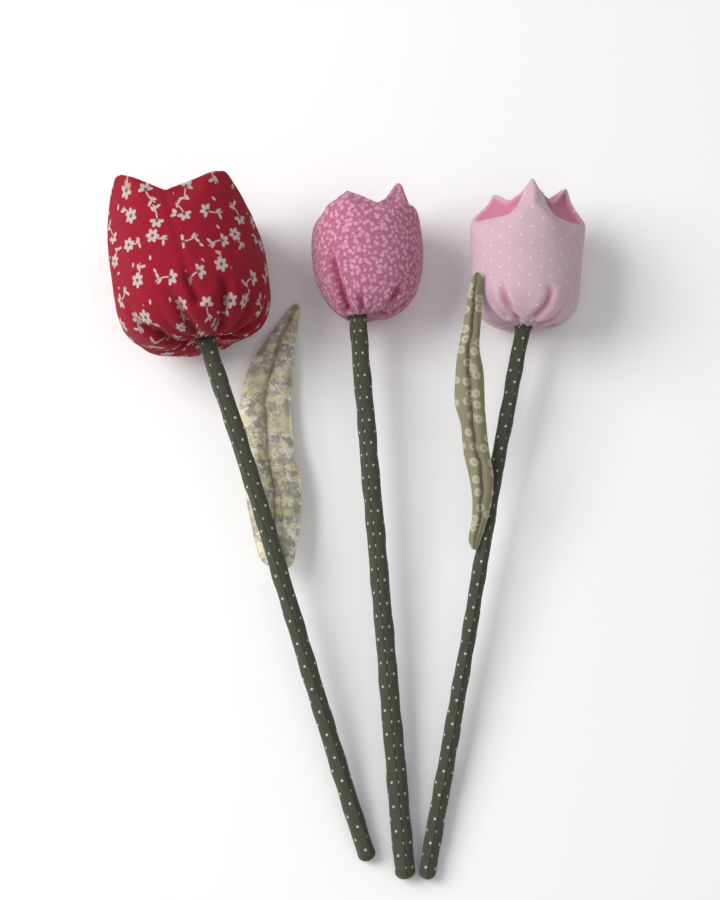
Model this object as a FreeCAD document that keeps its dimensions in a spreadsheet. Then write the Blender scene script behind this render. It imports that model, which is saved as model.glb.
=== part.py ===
import FreeCAD, Part
import math
import os
import Sketcher

# Three sewn and stuffed cotton tulips, lying on a table as a set.
# Row frame: +X to the right, +Y from the feet to the flower heads, +Z up, table at Z = 0.
# Frame of a stem: origin at the end of its foot, +Z along the stem, +X to the right, +Y down.
# Frame of a head or a leaf: the same, with the origin at the neck or at the sewn end.
# Lengths are in millimetres and angles in degrees.

SIZES = {
    # cloth, stuffing and thread
    "cotton_thickness": 0.5,
    "cloth_gap": 0.15,
    "hem_depth": 3.0,
    "thread_radius": 0.5,
    "thread_gap": 0.08,
    "sewing_thread_radius": 0.35,
    "overrun": 5.0,
    # stems
    "foot_straight": 60.0,
    "foot_rounding": 2.5,
    "foot_rest_flat": 0.25,
    "stem_in_head": 28.0,
    "stem_bore_gap": 0.15,
    "neck_lip": 1.4,
    "neck_thread_drop": 3.4,
    "neck_thread_width": 1.0,
    "dowel_radius": 2.0,
    "dowel_fit": 0.1,
    "dowel_from_foot": 4.0,
    "dowel_past_stem": 12.0,
    # heads
    "head_rest_flat": 0.5,
    "top_stitch_reach": 6.0,
    # leaves
    "leaf_seam_margin": 1.5,
    "leaf_clearance": 0.3,
    "first_stitch": 0.7,
    "stitch_pitch": 1.4,
    # red tulip
    "red_foot_x": 14.1,
    "red_foot_y": -191.4,
    "red_stem_length": 315.0,
    "red_stem_yaw": -17.9,
    "red_foot_radius": 5.0,
    "red_mid_radius": 5.0,
    "red_neck_radius": 5.1,
    "red_foot_bow": -1.3,
    "red_low_bow": -0.7,
    "red_high_bow": 0.6,
    "red_neck_bow": -0.7,
    "red_head_radius": 47.0,
    "red_head_length": 97.0,
    "red_head_yaw": -10.0,
    "red_head_pitch": 1.0,
    "red_head_turn": 0.0,
    "red_head_shift": -3.0,
    # rose tulip
    "rose_foot_x": 33.6,
    "rose_foot_y": -202.0,
    "rose_stem_length": 329.0,
    "rose_stem_yaw": -4.8,
    "rose_foot_radius": 5.8,
    "rose_mid_radius": 5.4,
    "rose_neck_radius": 5.1,
    "rose_foot_bow": 0.0,
    "rose_low_bow": 0.15,
    "rose_high_bow": 0.0,
    "rose_neck_bow": 0.2,
    "rose_head_radius": 33.5,
    "rose_head_length": 76.0,
    "rose_head_yaw": -2.5,
    "rose_head_pitch": 3.0,
    "rose_head_turn": 13.0,
    "rose_head_shift": 7.7,
    # pale tulip
    "pale_foot_x": 44.4,
    "pale_foot_y": -201.8,
    "pale_stem_length": 328.0,
    "pale_stem_yaw": 10.7,
    "pale_foot_radius": 4.8,
    "pale_mid_radius": 4.2,
    "pale_neck_radius": 4.5,
    "pale_foot_bow": 0.7,
    "pale_low_bow": 0.5,
    "pale_high_bow": -0.6,
    "pale_neck_bow": 0.4,
    "pale_head_radius": 32.8,
    "pale_head_length": 81.0,
    "pale_head_yaw": 3.0,
    "pale_head_pitch": 3.0,
    "pale_head_turn": 45.0,
    "pale_head_shift": 0.0,
    # red tulip's leaf, under its stem
    "red_leaf_length": 170.0,
    "red_leaf_width": 34.0,
    "red_leaf_along_stem": 171.5,
    "red_leaf_round_stem": 174.0,
    "red_leaf_stitch": 1.0,
    "red_leaf_yaw": 19.7,
    "red_leaf_pitch": -12.6,
    # pale tulip's leaf, on top of its stem
    "pale_leaf_length": 162.0,
    "pale_leaf_width": 17.5,
    "pale_leaf_along_stem": 188.0,
    "pale_leaf_round_stem": -45.0,
    "pale_leaf_stitch": 0.6,
    "pale_leaf_yaw": -9.7,
    "pale_leaf_pitch": 6.3,
}

HEAD_SIDES = 24
BAND_SIDES = 16
THREAD_SIDES = 6
LEAF_STITCHES = 3

# Where the stem's round sections stand, from foot to neck.
LOW_STATION_SHARE = 0.43
HIGH_STATION_SHARE = 0.71
# How far the middle of a rounded edge stands in from its corner.
ROUND_MIDDLE_SHARE = 1 - math.sqrt(0.5)

# How far a head's side views start behind its neck, and how far they and the blocks that cut at
# the table reach, all as a share of the belly radius.
SKIRT_SHARE = 0.5
REACH_SHARE = 4

# Heads: height as a share of the head's length, radius as a share of its belly radius.
# The first pairs are the gathered underside, the last ones the four corners of the top.
UNDERSIDE_SHARES = {
    "red": [(-0.03, 0.43), (-0.005, 0.68), (0.05, 0.83), (0.14, 0.936), (0.26, 0.991)],
    "rose": [(-0.02, 0.42), (0.025, 0.66), (0.115, 0.84), (0.23, 0.94), (0.37, 0.994)],
    "pale": [(-0.024, 0.36), (-0.012, 0.60), (0.047, 0.81), (0.13, 0.945), (0.235, 0.99)],
}
CORNER_SHARES = {
    "red": [(0.38, 1.0), (0.62, 1.0), (0.86, 0.95), (1.04, 0.80)],
    "rose": [(0.50, 1.0), (0.66, 0.985), (0.80, 0.93), (1.04, 0.62)],
    "pale": [(0.40, 1.0), (0.70, 1.04), (0.79, 1.0), (0.89, 0.85), (1.04, 0.58)],
}
# The side views of a head's top, from its right belly over two tips to its left belly: place as a
# share of the belly radius, height as a share of the length. The one across shows right and left,
# the one along shows the head's top and its rest. The middle pair is the notch between two tips.
TOP_SHARES = {
    "red": {
        "across": [(0.97, 0.40), (0.58, 0.87), (0.50, 0.925), (-0.10, 0.83), (-0.66, 1.0),
                   (-0.86, 0.94), (-1.03, 0.40)],
        "along": [(1.03, 0.38), (0.80, 0.93), (0.57, 1.0), (0.0, 0.83), (-0.57, 1.0),
                  (-0.80, 0.93), (-1.03, 0.38)],
    },
    "rose": {
        "across": [(1.03, 0.45), (0.76, 0.86), (0.46, 1.0), (0.0, 0.86), (-0.42, 0.93),
                   (-0.80, 0.84), (-1.03, 0.45)],
        "along": [(1.03, 0.45), (0.72, 0.86), (0.42, 1.0), (0.0, 0.86), (-0.42, 1.0),
                  (-0.72, 0.86), (-1.03, 0.45)],
    },
    "pale": {
        "across": [(1.06, 0.45), (0.70, 0.80), (0.42, 1.0), (0.0, 0.905), (-0.42, 1.0),
                   (-0.70, 0.80), (-1.06, 0.45)],
        "along": [(1.06, 0.45), (0.70, 0.80), (0.42, 1.0), (0.0, 0.905), (-0.42, 1.0),
                  (-0.70, 0.80), (-1.06, 0.45)],
    },
}

# Leaves: length share, sideways share of the length, width as a share of the full width.
LEAF_SHARES = {
    "red": [(0.0, 0.0, 0.34), (0.05, -0.016, 0.61), (0.175, -0.026, 0.86), (0.32, -0.044, 1.0),
            (0.47, -0.069, 0.945), (0.58, -0.079, 0.915), (0.67, -0.075, 0.868),
            (0.763, -0.062, 0.765), (0.857, -0.040, 0.535), (0.935, -0.019, 0.32),
            (1.0, 0.0, 0.11)],
    "pale": [(0.0, 0.0, 0.20), (0.04, 0.001, 0.43), (0.11, 0.017, 0.53), (0.19, 0.026, 0.68),
             (0.275, 0.019, 0.83), (0.36, 0.001, 0.863), (0.445, -0.008, 0.846),
             (0.53, -0.023, 0.994), (0.64, -0.025, 0.93), (0.727, -0.028, 0.70),
             (0.85, -0.014, 0.55), (0.95, -0.005, 0.44), (1.0, 0.0, 0.234)],
}
# Half of a leaf's cross-section from the edge inwards: place as a share of the half width, height
# as a share of the crown. The edge is a flat seam and the middle is the sewn vein channel.
CROWN_SHARES = [(1.0, 0.0), (0.88, 0.0), (0.70, 0.60), (0.40, 1.0), (0.12, 0.80), (0.0, 0.48)]
CROWN_HEIGHT_SHARES = {"red": 0.125, "pale": 0.20}
SEAM_POINTS = 1
CHANNEL_SHARE = CROWN_SHARES[-1][1]

doc = FreeCAD.newDocument("CottonTulips")
sheet = doc.addObject("Spreadsheet::Sheet", "Sizes")
for row, (alias, value) in enumerate(SIZES.items(), start=1):
    sheet.set("A%d" % row, alias)
    sheet.set("B%d" % row, str(value))
    sheet.setAlias("B%d" % row, alias)
doc.recompute()


def size(alias):
    """A size read back from the sheet."""
    return float(sheet.get(alias))


def cell(alias):
    """A size's name as an expression uses it."""
    return "Sizes." + alias


def heading(yaw, pitch):
    """Turn +Z to a direction in the row frame, with +X level and +Y down."""
    yaw, pitch = math.radians(yaw), math.radians(pitch)
    forward = FreeCAD.Vector(
        math.sin(yaw) * math.cos(pitch), math.cos(yaw) * math.cos(pitch), math.sin(pitch)
    )
    right = FreeCAD.Vector(math.cos(yaw), -math.sin(yaw), 0)
    return FreeCAD.Rotation(right, forward.cross(right), forward, "ZXY")


def moved(x, y, z):
    return FreeCAD.Placement(FreeCAD.Vector(x, y, z), FreeCAD.Rotation())


def turned(axis, angle):
    return FreeCAD.Placement(FreeCAD.Vector(), FreeCAD.Rotation(FreeCAD.Vector(*axis), angle))


def head_rest_height(name):
    """How far a head's neck stands above the table when its belly rests there."""
    radius, length = size(name + "_head_radius"), size(name + "_head_length")
    pitch = math.radians(size(name + "_head_pitch"))
    stations = UNDERSIDE_SHARES[name] + CORNER_SHARES[name]
    reach = [radius * r * math.cos(pitch) - length * h * math.sin(pitch) for h, r in stations]
    return max(reach) - size("head_rest_flat")


def stem_placement(name):
    """Lay a stem from its foot on the table up to its head's neck."""
    radius, length = size(name + "_foot_radius"), size(name + "_stem_length")
    rise = head_rest_height(name) - radius + size("foot_rest_flat")
    pitch = math.asin(rise / length)
    foot_height = radius * math.cos(pitch) - size("foot_rounding") * math.sin(pitch)
    foot = FreeCAD.Vector(
        size(name + "_foot_x"), size(name + "_foot_y"), foot_height - size("foot_rest_flat")
    )
    return FreeCAD.Placement(foot, heading(size(name + "_stem_yaw"), math.degrees(pitch)))


def head_placement(name):
    """Place a head at its stem's neck, with its own direction, and turned about its axis."""
    neck = stem_placement(name).multVec(
        FreeCAD.Vector(size(name + "_neck_bow"), 0, size(name + "_stem_length"))
    )
    place = FreeCAD.Placement(
        neck, heading(size(name + "_head_yaw"), size(name + "_head_pitch"))
    )
    place = place * moved(size(name + "_head_shift"), 0, 0)
    return place * turned((0, 0, 1), size(name + "_head_turn"))


def leaf_end_reach(name):
    """How far a leaf's sewn end reaches towards its stitches from its own middle."""
    width = size(name + "_leaf_width") * LEAF_SHARES[name][0][2]
    channel = CHANNEL_SHARE * CROWN_HEIGHT_SHARES[name] * width
    thickness = channel + size("cotton_thickness")
    slant = math.radians(size(name + "_leaf_round_stem"))
    return abs(math.cos(slant)) * thickness + abs(math.sin(slant)) * width / 2


def leaf_seat(name):
    """The seat of a leaf's sewn end on its stem, with +Y from the stem's axis to the leaf."""
    place = stem_placement(name) * moved(0, 0, size(name + "_leaf_along_stem"))
    return place * turned((0, 0, 1), size(name + "_leaf_round_stem") + 180)


def stitch_start(name):
    """Where a leaf's stitches leave the stem's cover, from its axis."""
    return size(name + "_mid_radius") + size("thread_gap")


def leaf_placement(name):
    """Place a leaf's sewn end just past its stitches, lying flat, and turn it to its heading."""
    reach = stitch_start(name) + size(name + "_leaf_stitch") + size("leaf_clearance")
    end = leaf_seat(name).multVec(FreeCAD.Vector(0, reach + leaf_end_reach(name), 0))
    place = FreeCAD.Placement(end, stem_placement(name).Rotation)
    place = place * turned((0, 1, 0), size(name + "_leaf_yaw"))
    return place * turned((1, 0, 0), size(name + "_leaf_pitch"))


def origin_plane(body, role):
    return next(f for f in body.Origin.OriginFeatures if f.Role == role)


def circle_sketch(body, name, height, aside, radius):
    """A circle across a stem, at a height, a sideways offset and a radius given as expressions."""
    sketch = body.newObject("Sketcher::SketchObject", name)
    sketch.AttachmentSupport = [(origin_plane(body, "XY_Plane"), "")]
    sketch.MapMode = "FlatFace"
    circle = sketch.addGeometry(
        Part.Circle(FreeCAD.Vector(), FreeCAD.Vector(0, 0, 1), size("dowel_radius"))
    )
    sketch.addConstraint(Sketcher.Constraint("PointOnObject", circle, 3, -1))
    across = sketch.addConstraint(Sketcher.Constraint("DistanceX", -1, 1, circle, 3, 0.0))
    round_size = sketch.addConstraint(Sketcher.Constraint("Radius", circle, size("dowel_radius")))
    sketch.setExpression("Constraints[%d]" % across, aside)
    sketch.setExpression("Constraints[%d]" % round_size, radius)
    sketch.setExpression(".AttachmentOffset.Base.z", height)
    return sketch


def stem_sections(body, name, label, inset, start, end):
    """The round sections of a stem's tube, set in from its outside by an expression."""
    length = cell(name + "_stem_length")
    stations = [
        (cell("foot_straight"), "_foot"),
        ("%s * %s" % (length, LOW_STATION_SHARE), "_low"),
        ("%s * %s" % (length, HIGH_STATION_SHARE), "_high"),
        (length, "_neck"),
        (end, "_neck"),
    ]
    radii = {"_foot": "_foot", "_low": "_mid", "_high": "_mid", "_neck": "_neck"}
    sketches = []
    for index, (height, part) in enumerate([(start, "_foot")] + stations):
        radius = "%s - (%s)" % (cell(name + radii[part] + "_radius"), inset)
        sketches.append(
            circle_sketch(body, "%s%d" % (label, index), height, cell(name + part + "_bow"), radius)
        )
    return sketches


def loft_through(body, kind, label, sketches):
    loft = body.newObject("PartDesign::" + kind, label)
    loft.Profile = sketches[0]
    loft.Sections = sketches[1:]
    loft.Ruled = True
    return loft


def stem_tube(name, node):
    """A stem's outer form: a rounded end, a true cylinder and straight runs up into the head."""
    body = doc.addObject("PartDesign::Body", node)
    rounding, radius = cell("foot_rounding"), cell(name + "_foot_radius")
    bow = cell(name + "_foot_bow")
    middle = "%s * %s" % (rounding, ROUND_MIDDLE_SHARE)
    end = "%s + %s" % (cell(name + "_stem_length"), cell("stem_in_head"))
    sketches = stem_sections(body, name, node + "_round", "0", rounding, end)
    toe = [
        circle_sketch(body, node + "_toe0", "0", bow, "%s - %s" % (radius, rounding)),
        circle_sketch(body, node + "_toe1", middle, bow, "%s - %s" % (radius, middle)),
    ]
    loft_through(body, "AdditiveLoft", node + "_end", toe + sketches[:1])
    pad = body.newObject("PartDesign::Pad", node + "_foot")
    pad.Profile = sketches[0]
    pad.setExpression("Length", "%s - %s" % (cell("foot_straight"), rounding))
    loft_through(body, "AdditiveLoft", node + "_run", sketches[1:])
    return body


def stem_cover(name):
    """The dotted cotton tube of a stem, sewn shut at its foot and open inside the head."""
    node = name + "_stem_cover"
    body = stem_tube(name, node)
    inset = cell("cotton_thickness")
    past_end = "%s + %s + %s" % (
        cell(name + "_stem_length"), cell("stem_in_head"), cell("overrun")
    )
    hollow = stem_sections(body, name, node + "_bore", inset, cell("foot_rounding"), past_end)
    toe = circle_sketch(
        body, node + "_toe", inset, cell(name + "_foot_bow"),
        "%s - %s" % (cell(name + "_foot_radius"), cell("foot_rounding")),
    )
    loft_through(body, "SubtractiveLoft", node + "_hollow", [toe] + hollow)
    return body


def stem_padding(name):
    """The wadding between a stem's cover and its dowel."""
    node = name + "_stem_padding"
    inset = "%s + %s" % (cell("cotton_thickness"), cell("cloth_gap"))
    body = doc.addObject("PartDesign::Body", node)
    end = "%s + %s" % (cell(name + "_stem_length"), cell("stem_in_head"))
    sections = stem_sections(body, name, node + "_round", inset, cell("foot_rounding"), end)
    toe = circle_sketch(
        body, node + "_toe", inset, cell(name + "_foot_bow"),
        "%s - %s - %s" % (cell(name + "_foot_radius"), cell("foot_rounding"), cell("cloth_gap")),
    )
    loft_through(body, "AdditiveLoft", node + "_run", [toe] + sections)
    doc.recompute()
    hole = circle_sketch(
        body, node + "_bore", end, "0", "%s + %s" % (cell("dowel_radius"), cell("dowel_fit"))
    )
    pocket = body.newObject("PartDesign::Pocket", node + "_dowel_hole")
    pocket.Profile = hole
    pocket.setExpression("Length", "%s - %s" % (end, cell("dowel_from_foot")))
    return body


def stem_dowel(name):
    """The wooden stick that keeps a stem straight and runs on into the head."""
    node = name + "_stem_dowel"
    body = doc.addObject("PartDesign::Body", node)
    base = "%s + %s" % (cell("dowel_from_foot"), cell("dowel_fit"))
    sketch = circle_sketch(body, node + "_round", base, "0", cell("dowel_radius"))
    pad = body.newObject("PartDesign::Pad", node + "_stick")
    pad.Profile = sketch
    pad.setExpression(
        "Length",
        "%s + %s + %s - (%s)" % (
            cell(name + "_stem_length"), cell("stem_in_head"), cell("dowel_past_stem"), base
        ),
    )
    return body


def prism(label, sides, radius, length):
    """A straight prism on +Z with a regular base, from its corner radius and its length."""
    base = doc.addObject("Part::RegularPolygon", label + "_base")
    base.Polygon = sides
    base.setExpression("Circumradius", radius)
    body = doc.addObject("Part::Extrusion", label)
    body.Base = base
    body.DirMode = "Custom"
    body.Dir = FreeCAD.Vector(0, 0, 1)
    body.Solid = True
    body.setExpression("LengthFwd", length)
    return body


def neck_thread(name):
    """The band of gathering thread that draws a head's cotton in round the stem."""
    label = name + "_neck_thread"
    flat_share = math.cos(math.pi / BAND_SIDES)
    inner = "(%s + %s) / %s" % (cell(name + "_neck_radius"), cell("thread_gap"), flat_share)
    width = cell("neck_thread_width")
    band = prism(label + "_band", BAND_SIDES, inner + " + " + cell("thread_radius"), width)
    hole = prism(label + "_hole", BAND_SIDES, inner, width)
    return cut(band, hole, label)


def top_outline(name, label, view, side_inset, top_inset):
    """A side view of a head: straight skirts, curved flanks, two tips and the notch between."""
    radius, length = name + "_head_radius", name + "_head_length"
    skirt = (-SKIRT_SHARE * size(radius), "-%s * %s" % (SKIRT_SHARE, cell(radius)))

    def across(share):
        inset = "0" if share == 0 else side_inset
        sign = -1 if share < 0 else 1
        value = share * size(radius) - sign * size_of(inset)
        return value, "%s * %s - %d * (%s)" % (share, cell(radius), sign, inset)

    def up(share, inset):
        value = share * size(length) - size_of(inset)
        return value, "%s * %s - (%s)" % (share, cell(length), inset)

    shares = TOP_SHARES[name][view]
    belly_height = up(shares[0][1], "0")
    right, left = across(shares[0][0]), across(shares[-1][0])
    ring = [(right, skirt), (right, belly_height)]
    ring += [(across(place), up(height, top_inset)) for place, height in shares[1:-1]]
    ring += [(left, belly_height), (left, skirt)]
    sketch = doc.addObject("Sketcher::SketchObject", label)
    sketch.Placement = FreeCAD.Placement(
        FreeCAD.Vector(), FreeCAD.Rotation(FreeCAD.Vector(1, 0, 0), 90)
    )
    points = [FreeCAD.Vector(x[0], y[0], 0) for x, y in ring]
    flanks = (1, len(ring) - 3)
    edges = []
    for index, start in enumerate(points):
        end = points[(index + 1) % len(points)]
        piece = flank_arc(start, end) if index in flanks else Part.LineSegment(start, end)
        edges.append(sketch.addGeometry(piece))
    for index, (x, y) in enumerate(ring):
        after = (index + 1) % len(ring)
        sketch.addConstraint(
            Sketcher.Constraint("Coincident", edges[index], 2, edges[after], 1)
        )
        for axis, (value, text) in (("DistanceX", x), ("DistanceY", y)):
            place = sketch.addConstraint(
                Sketcher.Constraint(axis, -1, 1, edges[index], 1, value)
            )
            sketch.setExpression("Constraints[%d]" % place, text)
    for index in flanks:
        place = sketch.addConstraint(
            Sketcher.Constraint("DistanceY", -1, 1, edges[index], 3, belly_height[0])
        )
        sketch.setExpression("Constraints[%d]" % place, belly_height[1])
    return sketch


def flank_arc(start, end):
    """An arc that leaves the wider and lower point upright and ends at the other point."""
    low, high = (start, end) if start.y < end.y else (end, start)
    across, rise = abs(low.x - high.x), high.y - low.y
    radius = (across ** 2 + rise ** 2) / (2 * across)
    side = 1 if low.x > 0 else -1
    centre = FreeCAD.Vector(low.x - side * radius, low.y, 0)
    circle = Part.Circle(centre, FreeCAD.Vector(0, 0, 1), radius)
    sweep = math.asin(rise / radius)
    if side > 0:
        return Part.ArcOfCircle(circle, 0, sweep)
    return Part.ArcOfCircle(circle, math.pi - sweep, math.pi)


def size_of(expression):
    """The value of a sum of named sizes."""
    total = 0.0
    for term in expression.split("+"):
        term = term.strip()
        if term != "0":
            total += size(term.replace("Sizes.", ""))
    return total


def head_form(name, label, side_inset, top_inset):
    """A stuffed head: a swelling barrel whose top is pinched from four sides to four tips."""
    radius, length = name + "_head_radius", name + "_head_length"
    first = (
        "%s + %s" % (cell(name + "_neck_radius"), cell("neck_lip")), side_inset
    )
    stations = [first]
    for height, share in UNDERSIDE_SHARES[name]:
        stations.append((
            "%s * %s - (%s)" % (share, cell(radius), side_inset),
            "%s * %s + %s" % (height, cell(length), side_inset),
        ))
    for height, share in CORNER_SHARES[name]:
        stations.append((
            "%s * %s - (%s)" % (share, cell(radius), side_inset),
            "%s * %s" % (height, cell(length)),
        ))
    sections = []
    for index, (round_size, height) in enumerate(stations):
        section = doc.addObject("Part::RegularPolygon", "%s_section%d" % (label, index))
        section.Polygon = HEAD_SIDES
        section.setExpression("Circumradius", round_size)
        section.setExpression(".Placement.Base.z", height)
        sections.append(section)
    barrel = doc.addObject("Part::Loft", label + "_barrel")
    barrel.Sections = sections
    barrel.Solid = True
    barrel.Ruled = True
    barrel.Linearize = True
    pinches = []
    for view, turn in (("across", 0), ("along", 90)):
        pinch = doc.addObject("Part::Extrusion", "%s_pinch_%s" % (label, view))
        pinch.Base = top_outline(name, "%s_view_%s" % (label, view), view, side_inset, top_inset)
        pinch.DirMode = "Custom"
        pinch.Dir = FreeCAD.Vector(0, 1, 0)
        pinch.Solid = True
        pinch.Symmetric = True
        pinch.setExpression("LengthFwd", "%s * %s" % (REACH_SHARE, cell(radius)))
        pinch.Placement = turned((0, 0, 1), turn)
        pinches.append(pinch)
    form = doc.addObject("Part::MultiCommon", label + "_form")
    form.Shapes = [barrel] + pinches
    return form


def cut(base, tool, label):
    result = doc.addObject("Part::Cut", label)
    result.Base = base
    result.Tool = tool
    return result


def stem_bore(name, label, place):
    """The round passage that the stem and its dowel fill inside a head."""
    bore = doc.addObject("Part::Cylinder", label + "_stem_bore")
    bore.setExpression(
        "Radius", "%s + %s" % (cell(name + "_neck_radius"), cell("stem_bore_gap"))
    )
    bore.setExpression(
        "Height", "%s + %s + %s" % (
            cell("stem_in_head"), cell("stem_bore_gap"), cell(name + "_head_radius")
        )
    )
    start = size(name + "_stem_length") - size(name + "_head_radius")
    stem_axis = stem_placement(name) * moved(size(name + "_neck_bow"), 0, start)
    bore.Placement = place.inverse() * stem_axis
    stick = doc.addObject("Part::Cylinder", label + "_stick_bore")
    stick.setExpression("Radius", "%s + %s" % (cell("dowel_radius"), cell("dowel_fit")))
    stick.setExpression("Height", "%s + %s + %s" % (
        cell("stem_in_head"), cell("dowel_past_stem"), cell("dowel_fit")
    ))
    stick.Placement = place.inverse() * stem_placement(name) * moved(
        0, 0, size(name + "_stem_length")
    )
    bores = doc.addObject("Part::MultiFuse", label + "_bores")
    bores.Shapes = [bore, stick]
    return bores


def below_table(name, label, place, height):
    """A block that fills the space below a height over the table, to cut what rests there flat."""
    block = doc.addObject("Part::Box", label + "_below")
    for side in ("Length", "Width", "Height"):
        block.setExpression(side, "%s * %s" % (REACH_SHARE, cell(name + "_head_radius")))
    reach = REACH_SHARE * size(name + "_head_radius")
    corner = FreeCAD.Vector(
        place.Base.x - reach / 2, place.Base.y - reach / 2, height - reach
    )
    block.Placement = place.inverse() * FreeCAD.Placement(corner, FreeCAD.Rotation())
    return block


def head(name):
    """A head's sewn cover, its stuffing and the crossed stitches that close its top."""
    place = head_placement(name)
    levels = {
        "outside": ("0", "0"),
        "cavity": (cell("cotton_thickness"), cell("hem_depth")),
        "filling": (
            "%s + %s" % (cell("cotton_thickness"), cell("cloth_gap")),
            "%s + %s" % (cell("hem_depth"), cell("cloth_gap")),
        ),
    }
    forms = {}
    for level, (side, top) in levels.items():
        label = "%s_head_%s" % (name, level)
        below = below_table(name, label, place, size_of(side))
        forms[level] = cut(head_form(name, label, side, top), below, label)
    cover_node, stuffing_node = name + "_head_cover", name + "_head_stuffing"
    skin = cut(forms["outside"], forms["cavity"], cover_node + "_skin")
    cover = cut(skin, stem_bore(name, cover_node, place), cover_node)
    stuffing = cut(forms["filling"], stem_bore(name, stuffing_node, place), stuffing_node)
    cover.Placement = place
    stuffing.Placement = place
    return [cover, stuffing, top_stitch(name, place)]


def notch_slope(name, view):
    """How steeply a head's top rises from the notch of one side view, on its steeper side."""
    shares = TOP_SHARES[name][view]
    middle = len(shares) // 2
    place, height = shares[middle]
    rises = [
        (high - height) * size(name + "_head_length") / abs(aside - place)
        for aside, high in (shares[middle - 1], shares[middle + 1])
    ]
    return max(rises) / size(name + "_head_radius")


def notch_point(name):
    """The bottom of a head's closed top, where the notches of its side views cross."""
    across, along = [
        TOP_SHARES[name][view][len(TOP_SHARES[name][view]) // 2] for view in ("across", "along")
    ]
    radius, length = size(name + "_head_radius"), size(name + "_head_length")
    return FreeCAD.Vector(
        across[0] * radius, along[0] * radius, max(across[1], along[1]) * length
    )


def groove_seat(radius, slope):
    """How far a thread's axis lies over the bottom of a groove whose sides rise by a slope."""
    return radius * math.hypot(1, slope) + size("thread_gap")


def top_stitch(name, place):
    """Two crossed threads over the middle of a head's top, where its four sides meet."""
    slope = max(notch_slope(name, view) for view in TOP_SHARES[name])
    seat = FreeCAD.Vector(0, 0, groove_seat(size("thread_radius"), slope))
    threads = []
    for index, axis in enumerate(((1, 0, 0), (0, 1, 0))):
        thread = prism(
            "%s_top_thread%d" % (name, index), THREAD_SIDES, cell("thread_radius"),
            "2 * " + cell("top_stitch_reach"),
        )
        along = FreeCAD.Vector(*axis)
        start = notch_point(name) + seat - along * size("top_stitch_reach")
        thread.Placement = FreeCAD.Placement(
            start, FreeCAD.Rotation(FreeCAD.Vector(0, 0, 1), along)
        )
        threads.append(thread)
    cross = doc.addObject("Part::MultiFuse", name + "_top_stitch")
    cross.Shapes = threads
    cross.Placement = place
    return cross


def leaf_stations(name, first=0, last=None):
    """Length, sideways offset and width of a leaf at each of its sections."""
    length, width = size(name + "_leaf_length"), size(name + "_leaf_width")
    rows = LEAF_SHARES[name][first:last]
    return [(length * along, length * aside, width * wide) for along, aside, wide in rows]


def crown_line(name, aside, width, height, points):
    """One side of a leaf's section from its left edge to its right edge, height above the middle."""
    crown = CROWN_HEIGHT_SHARES[name] * width
    half = [(share * width / 2, rise * crown + height) for share, rise in points]
    left = [(aside - x, y) for x, y in half]
    right = [(aside + x, y) for x, y in half[:-1][::-1]]
    return left + right


def loft_of(label, outlines):
    """A solid through flat outlines, each a height and its corners."""
    sections = []
    for index, (height, corners) in enumerate(outlines):
        section = doc.addObject("Part::Feature", "%s_section%d" % (label, index))
        points = [FreeCAD.Vector(x, y, height) for x, y in corners]
        section.Shape = Part.makePolygon(points + points[:1])
        sections.append(section)
    loft = doc.addObject("Part::Loft", label)
    loft.Sections = sections
    loft.Solid = True
    loft.Ruled = True
    loft.Linearize = True
    return loft


def leaf_panel(name, label, side):
    """One cotton face of a leaf, crowned to each side of its sewn vein. Side -1 is the upper."""
    outlines = []
    for along, aside, width in leaf_stations(name):
        inner = crown_line(name, aside, width, 0, CROWN_SHARES)
        outer = crown_line(name, aside, width, size("cotton_thickness"), CROWN_SHARES)
        corners = [(x, side * y) for x, y in outer + inner[::-1]]
        outlines.append((along, corners))
    return loft_of(label, outlines)


def leaf_wadding(name, label):
    """The thin wadding inside a leaf, a little smaller than the space between its faces."""
    points = CROWN_SHARES[SEAM_POINTS:]
    outlines = []
    for along, aside, width in leaf_stations(name, 1, -1):
        inner_width = width - 2 * size("leaf_seam_margin")
        line = crown_line(name, aside, inner_width, 0, points)
        corners = line + [(x, -y) for x, y in line[1:-1][::-1]]
        outlines.append((along, corners))
    return loft_of(label, outlines)


def vein_thread(name, label):
    """The thread of a leaf's vein, laid along the channel of each face."""
    radius = size("sewing_thread_radius")
    (ridge, crest), (_, bottom) = CROWN_SHARES[-2:]
    slope = CROWN_HEIGHT_SHARES[name] * (crest - bottom) / (ridge / 2)
    turns = [2 * math.pi * corner / THREAD_SIDES for corner in range(THREAD_SIDES)]
    runs = []
    for side in (-1, 1):
        outlines = []
        for along, aside, width in leaf_stations(name, 1, -1):
            channel = bottom * CROWN_HEIGHT_SHARES[name] * width
            height = channel + size("cotton_thickness") + groove_seat(radius, slope)
            corners = [
                (aside + radius * math.cos(turn), side * height + radius * math.sin(turn))
                for turn in turns
            ]
            outlines.append((along, corners))
        runs.append(loft_of("%s_run%d" % (label, side), outlines))
    thread = doc.addObject("Part::Compound", label)
    thread.Links = runs
    return thread


def leaf_stitches(name):
    """Three short stitches in a row along the stem, from its cover to the leaf's sewn end."""
    length = cell(name + "_leaf_stitch")
    threads = []
    for index in range(LEAF_STITCHES):
        thread = prism(
            "%s_leaf_stitch%d" % (name, index), THREAD_SIDES, cell("sewing_thread_radius"), length
        )
        along = size("first_stitch") + size("stitch_pitch") * index
        thread.Placement = FreeCAD.Placement(
            FreeCAD.Vector(0, stitch_start(name), along),
            FreeCAD.Rotation(FreeCAD.Vector(1, 0, 0), -90),
        )
        threads.append(thread)
    sewing = doc.addObject("Part::Compound", name + "_leaf_sewing_thread")
    sewing.Links = threads
    sewing.Placement = leaf_seat(name)
    return sewing


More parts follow.
